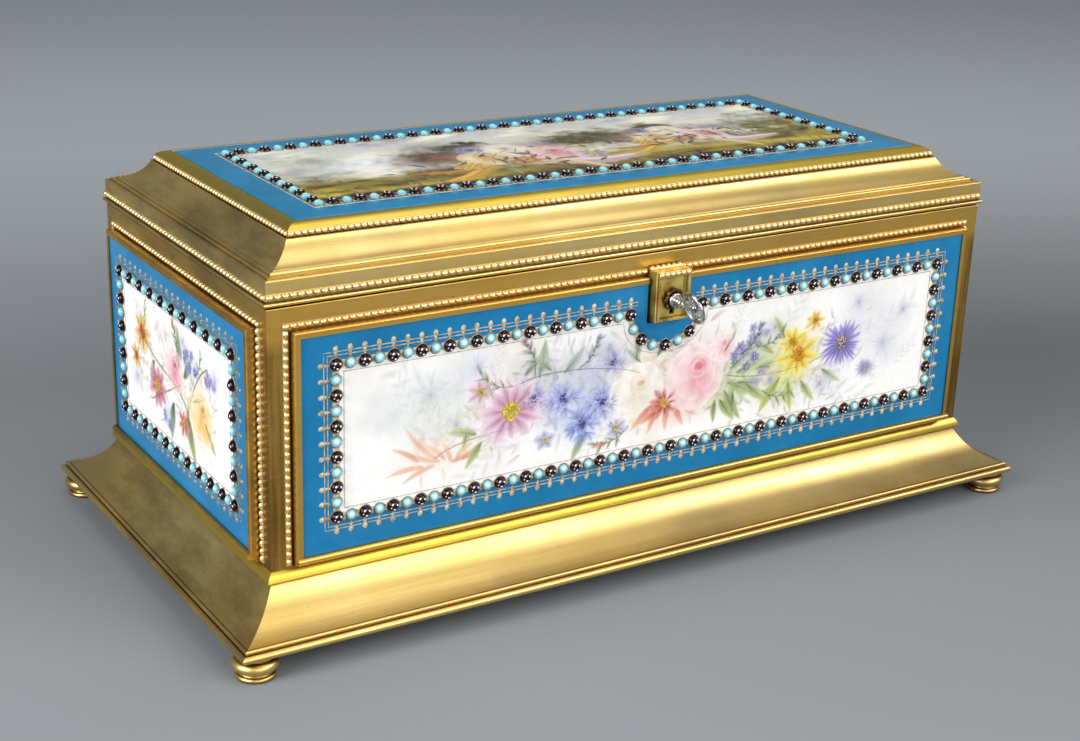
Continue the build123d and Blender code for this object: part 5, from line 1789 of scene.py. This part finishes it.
    for u, v, size, count, inner, outer, heart, wide, blunt in (
        (62, 0, 11.6, 9, (248, 208, 0), (255, 238, 30), (232, 158, 36), 0.46, 0.8),
        (59, 5, 7.6, 7, (250, 214, 0), (255, 240, 60), (232, 158, 36), 0.5, 0.8),
        (69, 12, 5.6, 7, (246, 206, 60), (254, 234, 130), (226, 160, 50), 0.45, 0.9),
    ):
        b.open_flower(f * u, v, size, count, inner, outer, heart, wide, blunt, full=1.0)
    b.aster(f * 83, 1, 11.0, (70, 44, 176), (132, 112, 218), 30)
    b.aster(f * 96, -11, 5.6, (150, 144, 206), (200, 196, 232), 20)
    return b


def end_spray(side, seed, f=1):
    """A smaller spray for a short face: yellow above, pink in the middle, a warm bloom low, blue stars
    between. An f of -1 flips it."""
    b, way = Painting(side, seed), mirrored(f)
    for u, v, size in ((-38, -10, 7), (36, 12, 7), (8, 17, 5), (-10, -17, 5)):
        b.ghost(f * u, v, size)
    for u, v, turn, long in ((-30, 12, 2.3, 14), (24, 14, 0.9, 12), (34, -12, -0.5, 14), (-34, -4, 3.4, 12)):
        b.ghost_leaves(f * u, v, way(turn), long, 6)
    palette = [(232, 200, 130), (220, 170, 176), (160, 178, 116), (226, 200, 130), (208, 202, 206)][::f]
    b.brushwork(120, 38, np.zeros_like, 8.0, palette, 0.6)
    b.accents(50, 36, np.zeros_like, 8.0)
    b.stem([(f * -32, 12), (f * -16, 2), (f * 2, -2), (f * 14, -14)], 0.9, (140, 150, 84), (104, 128, 76))
    b.stem([(f * 30, 14), (f * 18, 4), (f * 8, -16)], 0.8, (120, 140, 80), (104, 128, 70))
    b.stem([(f * -24, -14), (f * -8, -6), (f * 4, 0)], 0.7, (150, 120, 90), (110, 134, 80))
    for u, v, turn, long, green, light in (
        (-26, 6, 2.9, 10, (110, 146, 78), (184, 202, 122)),
        (-20, 2, -2.0, 10, (96, 134, 70), (168, 192, 112)),
        (4, 6, 1.5, 12, (84, 124, 72), (152, 182, 112)),
        (8, 4, 0.8, 10, (90, 130, 74), (160, 188, 116)),
        (-2, -8, -1.9, 12, (84, 118, 60), (152, 176, 92)),
        (10, -8, -1.3, 14, (92, 124, 58), (162, 180, 90)),
        (16, -2, 0.3, 10, (110, 140, 70), (184, 200, 110)),
        (26, -6, -0.9, 10, (120, 142, 66), (194, 204, 104)),
    ):
        b.leaf(f * u, v, way(turn), 1.3 * long, 0.38, tuple(0.85 * x for x in green), light)
    b.sprig(f * 2, 8, way(1.8), 13, 7, (84, 120, 70), (150, 182, 110), (206, 96, 84))
    b.sprig(f * -30, 14, way(1.2), 8, 5, (130, 140, 70), (196, 200, 110))
    b.sprig(f * 18, 8, way(1.0), 11, 6, (96, 126, 80), (166, 188, 124))
    b.open_flower(f * -31, 9, 9.8, 8, (226, 150, 30), (250, 214, 90), (190, 90, 40), 0.5, 0.8, full=1.0)
    b.open_flower(f * -38, -2, 6.0, 7, (226, 160, 50), (248, 216, 110), (196, 100, 44), 0.5, 0.8, full=1.0)
    b.open_flower(f * -17, -7, 9.6, 9, (190, 62, 96), (236, 150, 172), (226, 186, 84), wide=0.55)
    b.rose(f * -1, 4, 8.6, (180, 62, 82), (222, 132, 146), (248, 200, 202))
    b.open_flower(f * 7, -13, 6.4, 7, (198, 52, 48), (232, 120, 94), (240, 190, 90), wide=0.5, blunt=0.7)
    b.rose(f * 23, -5, 10.4, (200, 110, 30), (238, 180, 70), (252, 220, 140))
    b.cluster(f * 15, 11, 6.5, 10, (96, 116, 204))
    b.cluster(f * -8, -16, 5.0, 6, (112, 126, 210))
    b.cluster(f * 32, 9, 5.0, 7, (140, 114, 198))
    return b


def heap_leaves(b, u, v, g, count, spread, long, wide, green, light, ink):
    """Leaves at random in a heap of size g, spread as a bell: (half width, middle height, half height)."""
    r = b.rng
    across, level, high = spread
    u, v = u + g * r.normal(0, across, count), v + g * r.normal(level, high, count)
    b.leaf(u, v, r.uniform(0, 6.28, count), g * r.uniform(*long, count), wide, green, light, ink=ink)


def lid_bouquets():
    """Two heaps of blossom with trailing silks in the lid's park, and dabs of foliage along the bank."""
    b = Painting("top", 71)
    r = b.rng
    for u, v, wide, tall, tone, ink in (
        (-78, 4, 17, 11, (250, 252, 250), 0.95), (-58, -7, 18, 5, (236, 238, 236), 0.8),
        (-96, 16, 14, 8, (146, 152, 142), 0.8), (-104, -8, 18, 9, (92, 98, 76), 0.85),
        (-44, 12, 14, 14, (70, 64, 40), 0.85), (-70, -20, 28, 6, (96, 88, 52), 0.75),
        (14, 10, 20, 12, (84, 78, 52), 0.75), (34, 0, 11, 8, (226, 224, 214), 0.7),
        (88, -8, 24, 11, (116, 116, 70), 0.8), (100, 14, 16, 9, (190, 192, 186), 0.7),
        (-10, -26, 60, 6, (104, 98, 56), 0.6),
    ):
        b.wash(u, v, wide, tall, tone, ink, int(abs(u)) + 31)
    dabs = 160
    u, v = r.uniform(-112, 112, dabs), np.maximum(r.normal(-30, 3.2, dabs), -37)
    tone = b.pick((120, 116, 70), (150, 138, 84), (104, 100, 64), (176, 156, 96), count=dabs)
    turn, long = r.uniform(0.8, 2.4, dabs), r.uniform(3, 7, dabs)
    b.strokes(u, v, turn, long, 1.5, tone * 0.85, tone, 0.8, 0.8, 0.2, 0.05, ink=0.6)
    silks = (
        ((222, 176, 62), 3.5, 27, 11.0), ((190, 134, 44), 3.25, 30, 6.0), ((226, 196, 204), -0.32, 32, 12.0),
        ((236, 232, 240), -0.08, 28, 8.0), ((160, 76, 50), 2.75, 22, 6.0), ((222, 208, 150), -0.7, 22, 8.0),
    )
    for cu, cv, g in ((-22, -6, 1.35), (54, -1, 1.1)):
        b.wash(cu, cv - 2, 28 * g, 15 * g, (92, 72, 46), 0.95, 51)
        b.wash(cu - 14 * g, cv + 6 * g, 14 * g, 9 * g, (84, 58, 36), 0.85, 52)
        for k, (tone, turn, long, wide) in enumerate(silks):
            s = np.linspace(0, 1, 8)
            bu = cu + g * long * s * math.cos(turn)
            bv = cv - 5 + g * (long * s * math.sin(turn) + 2.5 * np.sin(s * 5 + k))
            turns, run = np.arctan2(np.diff(bv), np.diff(bu)), np.hypot(np.diff(bu), np.diff(bv))
            taper = g * wide * (1 - 0.8 * s[:-1])
            for aside, share, light in (
                (-0.18, 1.0, 0.72), (0.12, 0.7, 1.0), (0.22, 0.2, 1.15), (-0.12, 0.12, 0.5),
            ):
                lit, at = np.clip(shade(*tone) * light, 0, 1), bv[:-1] + aside * taper
                b.strokes(
                    bu[:-1], at, turns, run * 2.4, share * taper, lit, lit,
                    1.0, 0.4, 0.04, 0.1, ink=0.7, soft=0.5,
                )
        heap_leaves(b, cu, cv, g, 30, (11, 0, 6), (5, 9), 0.36, (118, 122, 78), (176, 176, 122), 0.7)
        b.rose(cu + 1 * g, cv + 7 * g, 8.0 * g, (170, 150, 110), (220, 206, 178), (242, 236, 222))
        b.rose(cu - 9 * g, cv + 1 * g, 8.0 * g, (140, 84, 40), (204, 158, 92), (236, 212, 160))
        b.rose(cu + 12 * g, cv - 1 * g, 8.6 * g, (150, 70, 76), (206, 134, 140), (238, 200, 198))
        b.open_flower(cu + 1 * g, cv - 5 * g, 6.0 * g, 8, (176, 74, 58), (216, 138, 110), wide=0.5)
        b.open_flower(cu - 17 * g, cv - 5 * g, 5.6 * g, 8, (206, 164, 64), (234, 204, 116), wide=0.45)
        b.open_flower(cu + 22 * g, cv - 5 * g, 5.2 * g, 7, (130, 140, 150), (190, 198, 200), wide=0.5)
        b.cornflower(cu - 8 * g, cv + 11 * g, 5.4 * g, (124, 118, 164), (184, 180, 208))
        b.cluster(cu + 12 * g, cv + 10 * g, 5.0 * g, 6, (206, 160, 170))
        b.cluster(cu + 24 * g, cv + 2 * g, 4.0 * g, 5, (222, 204, 150))
        heap_leaves(b, cu, cv, g, 26, (14, -2, 6), (3, 7), 0.32, (58, 54, 30), (110, 104, 62), 0.75)
    return b


def make_plaques():
    """The five painted panels with the raised marks of their flowers."""
    long_spray("front", 5).build()
    long_spray("rear", 6, -1).build()
    end_spray("left", 7).build()
    end_spray("right", 8, -1).build()
    lid_bouquets().build()


# Key


def leaning(x, y, z):
    """Points about the key's axis, turned with it so that its top leans to the left, in the shared frame."""
    lean = math.radians(-20.0)
    px = x * math.cos(lean) + z * math.sin(lean)
    pz = z * math.cos(lean) - x * math.sin(lean)
    return np.stack([px, y - HALF_Y + SHIFT, pz + KEY_HEIGHT], -1).reshape(-1, 3) / 1000


def tube(surface, path, radius, place, around=10, closed=False):
    """A round bar along a path: circles of the local radius across the path's direction."""
    path = np.asarray(path, float)
    k = len(path)
    ahead = np.roll(path, -1, 0) - np.roll(path, 1, 0) if closed else np.gradient(path, axis=0)
    ahead = ahead / np.linalg.norm(ahead, axis=1, keepdims=True)
    aside = np.cross(ahead, [1.0, 0.02, 0.01])
    aside = aside / np.linalg.norm(aside, axis=1, keepdims=True)
    upward = np.cross(ahead, aside)
    angle = np.arange(around) * math.tau / around
    cosine, sine = np.cos(angle)[None, :, None], np.sin(angle)[None, :, None]
    r = (np.asarray(radius, float) * np.ones(k))[:, None, None]
    p = (path[:, None] + r * (cosine * aside[:, None] + sine * upward[:, None])).reshape(-1, 3)
    faces = [grid_faces(k, around, close_rows=closed, close_columns=True)]
    if not closed:
        faces += [np.arange(around)[None], np.arange(around)[None, ::-1] + around * (k - 1)]
    surface.add(place(p[:, 0], p[:, 1], p[:, 2]), faces, closed=True)


def make_key():
    """The key: turned shank, collar and neck, a cut bit, and an oval bow of scrolls round a small rosette.

    The bow is an ellipse of tube whose radius waves four times in a turn. A scroll is three quarters of a
    spiral turn that shrinks to its end, and a spoke swells in its middle by a sine.
    """
    key = Surface()
    profile = outline(
        (0, -13.6),
        (0.62, -13.6),
        (1.02, -13.15),
        (1.35, -12.55),
        ((1.95, -11.75), (1.3, -11.0)),
        (1.02, -10.85),
        ((1.3, -10.1), (1.55, -8.9)),
        (1.6, -8.65),
        (2.2, -8.6),
        ((2.7, -7.9), (2.2, -7.2)),
        (1.6, -7.15),
        (1.6, 8.4),
        (0.9, 8.4),
        (0.9, 9.5),
        (0, 9.5),
        steps=5,
    )
    key.add(*turned(profile, 24, lambda a, b, c: leaning(a, c, b)), closed=True)

    centre = -18.4
    turn = np.arange(48) * math.tau / 48
    bow = np.stack([0 * turn, centre + 5.05 * np.cos(turn), 5.5 * np.sin(turn)], -1)
    tube(key, bow, 0.66 + 0.1 * np.cos(4 * turn), leaning, closed=True)
    s = np.linspace(0, 1, 22)
    spin, r, swell = 1.5 * math.pi * s, 1.95 * (1 - 0.62 * s), 0.38 + 0.16 * np.sin(3.1 * s)
    for up in (-1, 1):
        for out in (-1, 1):
            scroll = [0 * s, centre + out * (2.3 - r * np.cos(spin)), up * (1.6 + 0.9 * r * np.sin(spin))]
            tube(key, np.stack(scroll, -1), 0.42 * (1 - 0.35 * s), leaning, around=8)
        upright = [0 * s, centre + 0 * s, up * (0.8 + 4.4 * s)]
        level = [0 * s, centre + up * (0.8 + 3.9 * s), 0 * s]
        for spoke in (upright, level):
            tube(key, np.stack(spoke, -1), swell, leaning, around=8)
    rosette = outline((0, -0.95), (0.75, -0.7), ((1.25, 0.0), (0.75, 0.7)), (0, 0.95), steps=6)
    key.add(*turned(rosette, 16, lambda a, b, c: leaning(c, centre + a, b)), closed=True)

    near, far, ward, half, root, tip, cut = 5.2, 8.2, 1.1, 0.65, 1.2, 5.2, 1.3
    wards = (near, near + ward, far - ward, far)
    for start, end, foot in zip(wards, wards[1:], (tip, tip - cut, tip)):
        x, z = np.array([-half, half, half, -half] * 2), np.array([foot, foot, root, root] * 2)
        key.add(leaning(x, np.repeat([start, end], 4), z), BRICK, closed=True)
    key.build("key_openwork", bright_steel("key"), "key", "steel", ["key"], sharp=38)


# Silk

TUFT_SHAPE = 0.86


def tufted(x, y, half_x, half_y, pitch, height):
    """Height of a buttoned pad: puffs between buttons in a diamond lattice, rolled down at the edges.

    The lattice's two sets of creases are where the cosines of x and y added and taken away reach zero; a
    puff is their product to the power of 0.42, and the edge falls as a quarter round.
    """
    a = math.pi * (x / pitch + y / (TUFT_SHAPE * pitch)) / 2
    b = math.pi * (x / pitch - y / (TUFT_SHAPE * pitch)) / 2
    puff = (np.abs(np.cos(a)) * np.abs(np.cos(b)) + 1e-4) ** 0.42
    button = np.exp(-((np.sin(a + math.pi / 2) ** 2 + np.sin(b + math.pi / 2) ** 2) / 0.02))
    edge = np.minimum(half_x - np.abs(x), half_y - np.abs(y))
    roll = np.sqrt(np.clip(1 - (1 - np.clip(edge / 4.0, 0, 1)) ** 2, 0, 1))
    puff = puff * (1 - 0.35 * button)
    return height * (0.36 + 0.64 * puff) * (0.25 + 0.75 * roll)


def silk_pad(name, half_x, half_y, base, height, up, body, node):
    """A buttoned silk pad: the puffed face on a grid, a flat back and a closed rim. Its buttons are domes
    where the creases cross."""
    pitch, (columns, rows) = sizes()["tuft_pitch"], (221, 101)
    x, y = np.meshgrid(np.linspace(-half_x, half_x, columns), np.linspace(-half_y, half_y, rows))
    rise = tufted(x, y, half_x, half_y, pitch, height)
    rise = rise + 0.12 * mottled(x, y, 9.0, 61, 2) * np.clip(rise / height, 0, 1)
    rise = np.clip(rise, 0.3, height)
    pad = Surface()
    face = on_side("top", x, y, base + up * rise)
    back = on_side("top", x, y, base + 0 * rise)
    closed_slab(pad, face, back, rows, columns)
    piece = pad.build(name, silk_satin(), body, "silk", [node])
    i, j = (x.ravel() for x in np.meshgrid(np.arange(-8, 9), np.arange(-8, 9)))
    u, v = pitch * (i + j + 1), TUFT_SHAPE * pitch * (i - j)
    inside = (np.abs(u) < half_x - 6) & (np.abs(v) < half_y - 6)
    u, v = u[inside], v[inside]
    level = base * up + tufted(u, v, half_x, half_y, pitch, height) - 0.15
    buttons = Surface()
    domes(buttons, "top" if up > 0 else "under", u, v * up, level, 1.7, 1.7, 0.8, around=12, rings=3)
    buttons.build(f"{name}_buttons", silk_satin(), body, "silk")


def make_pads():
    """The stuffed pads on the floor and under the lid."""
    silk_pad("silk_floor_pad", 141.5, 63.0, FLOOR_TOP, 5.0, 1, "case", "floor_pad")
    silk_pad("silk_lid_pad", 140.0, 61.5, 126.9, 5.6, -1, "lid", "lid_pad")


def make_linings():
    """Silk stretched on the inside of the four boards, puckered a little under its turned top edge.

    Its depth is nearly the cloth's thickness, falls as a quarter round at the edges and waves by a sine
    along the top that fades downwards. On the front it is cut down under the lock box.
    """
    low, high, thick, rows = FLOOR_TOP, CASE_TOP - 2.0, 1.6, 45
    notch_half, notch_foot, cut = 14.4, 94.6, 0.01
    for side in SIDES:
        long = side in ("front", "rear")
        half = half_of(side) - BOARD_INSIDE - (0 if long else thick)
        u = np.linspace(-half, half, 261 if long else 121)
        top = np.full(len(u), high)
        if side == "front":
            sides = np.array([notch_half - cut, notch_half + cut])
            u = np.sort(np.concatenate([u, sides, -sides]))
            top = np.where(np.abs(u) < notch_half, notch_foot, high)
        v = low + np.linspace(0, 1, rows)[:, None] ** 0.8 * (top - low)
        u = np.broadcast_to(u, v.shape)
        edge = np.minimum(np.minimum(half - np.abs(u), v - low), top - v)
        soft = np.sqrt(np.clip(1 - (1 - np.clip(edge / 1.4, 0, 1)) ** 2, 0, 1))
        pucker = 0.10 * np.sin(u * 0.9 + 3 * mottled(u, 0 * v, 40.0, 9)) * np.exp(-((top - v) / 16.0))
        depth = (thick - 0.12) * (0.72 + 0.28 * soft) + pucker * soft + 0.05 * mottled(u, v, 24.0, 17)
        face = on_side(side, u, v, -BOARD_INSIDE - np.clip(depth, 0.6, thick))
        cloth = Surface()
        closed_slab(cloth, face, on_side(side, u, v, -BOARD_INSIDE), *v.shape)
        piece = cloth.build(f"silk_lining_{side}", silk_satin(), "case", "silk", [f"lining_{side}"])


# Finishes of the CAD nodes


def dress(material, *names):
    """Gives CAD nodes a material."""
    for name in names:
        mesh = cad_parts[name].data
        mesh.materials.clear()
        mesh.materials.append(material)


def make_finishes():
    """Materials for the CAD nodes that keep their own shape."""
    for side in SIDES:
        grain = grain_of(side)
        dress(gilt(grain), f"base_moulding_{side}", f"lid_moulding_{side}")
        dress(gilt(grain, "warm"), f"bezel_{side}")
        # The frames' gilt is painted darker low down: painted shade.
        dress(gilt(grain, "aged"), f"frame_{side}")
        dress(ground_glaze("case"), f"porcelain_{side}")
        dress(board_wood(grain), f"wall_{side}")
        dress(silk_satin(), f"lining_{side}")
        dress(pearl_gilt(), f"pearls_{side}")
    for end in ("left", "right"):
        dress(drawn_brass(), f"hinge_case_leaf_{end}", f"hinge_lid_leaf_{end}")
    dress(pearl_gilt(), "lid_pearls_lower", "lid_pearls_upper")
    # The lid frame's yellow gilt is partly a painted reflection of gold in gold.
    dress(gilt("x", "yellow"), "lid_frame")
    dress(gilt("x"), "feet")
    dress(ground_glaze("lid"), "porcelain_lid")
    dress(board_wood("x"), "base_board", "lid_board", "lid_inner_frame")
    dress(silk_satin(), "floor_pad", "lid_pad")
    dress(plate_gilt(), "lock_plate")
    dress(drawn_brass(), "lock_box", "lock_back_plate", "lock_staple")
    dress(bright_steel("key"), "hinge_pins", "key", "lock_bolt")
    dress(bright_steel("spring"), "lock_spring")


# Operators, panel and main


class BOX_OT_stage(bpy.types.Operator):
    """Floor, soft lamps, world and camera"""

    bl_idname, bl_label = "box.stage", "Stage"

    def execute(self, context):
        make_stage()
        return {"FINISHED"}


class BOX_OT_finishes(bpy.types.Operator):
    """Materials of the CAD nodes that are kept as they are"""

    bl_idname, bl_label = "box.finishes", "Finishes"

    def execute(self, context):
        make_finishes()
        return {"FINISHED"}


class BOX_OT_mouldings(bpy.types.Operator):
    """Base and lid mouldings, the sills' fillets and the turned feet"""

    bl_idname, bl_label = "box.mouldings", "Mouldings and feet"

    def execute(self, context):
        make_mouldings()
        make_sills()
        make_feet()
        return {"FINISHED"}


class BOX_OT_pearls(bpy.types.Operator):
    """Beaded wire of the case, the lock and the lid"""

    bl_idname, bl_label = "box.pearls", "Beaded wire"

    def execute(self, context):
        make_pearls()
        return {"FINISHED"}


class BOX_OT_plaques(bpy.types.Operator):
    """Painted panels of the five plaques with their sprays of flowers"""

    bl_idname, bl_label = "box.plaques", "Painted panels"

    def execute(self, context):
        make_plaques()
        return {"FINISHED"}


class BOX_OT_jewels(bpy.types.Operator):
    """Enamel jewels, their collars and the gilt lines round them"""

    bl_idname, bl_label = "box.jewels", "Jewels and gilt lines"

    def execute(self, context):
        make_jewels()
        make_gilding()
        return {"FINISHED"}


class BOX_OT_key(bpy.types.Operator):
    """The openwork key, the rosette round the keyhole and the lock plate's edging"""

    bl_idname, bl_label = "box.key", "Key"

    def execute(self, context):
        make_key()
        make_rosette()
        make_plate_border()
        return {"FINISHED"}


class BOX_OT_silk(bpy.types.Operator):
    """Buttoned pads and stretched linings of silk"""

    bl_idname, bl_label = "box.silk", "Silk"

    def execute(self, context):
        make_linings()
        make_pads()
        return {"FINISHED"}


OPERATORS = (
    BOX_OT_stage, BOX_OT_finishes, BOX_OT_mouldings, BOX_OT_pearls,
    BOX_OT_plaques, BOX_OT_jewels, BOX_OT_key, BOX_OT_silk,
)


class BOX_PT_panel(bpy.types.Panel):
    """Sizes, colours and the pieces of the box"""

    bl_idname, bl_label = "BOX_PT_panel", "Porcelain Jewelry Box"
    bl_space_type, bl_region_type, bl_category = "VIEW_3D", "UI", "Jewelry Box"

    def draw(self, context):
        for title, group in (("Sizes", context.scene.box_sizes), ("Colours", context.scene.box_colours)):
            box = self.layout.box()
            box.label(text=title)
            for key in type(group).__annotations__:
                box.prop(group, key)
        for operator in OPERATORS:
            self.layout.operator(operator.bl_idname)


CLASSES = (BoxSizes, BoxColours) + OPERATORS + (BOX_PT_panel,)


def register():
    """The classes, and the scene's settings."""
    for kind in CLASSES:
        bpy.utils.register_class(kind)
    bpy.types.Scene.box_sizes = bpy.props.PointerProperty(type=BoxSizes)
    bpy.types.Scene.box_colours = bpy.props.PointerProperty(type=BoxColours)


def unregister():
    """The reverse of register."""
    del bpy.types.Scene.box_colours
    del bpy.types.Scene.box_sizes
    for kind in reversed(CLASSES):
        bpy.utils.unregister_class(kind)


def main():
    """Registers the add-on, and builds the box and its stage."""
    register()
    for operator in OPERATORS:
        getattr(bpy.ops.box, operator.bl_idname.split(".")[1])()
    bpy.context.view_layer.update()


if __name__ == "__main__":
    main()
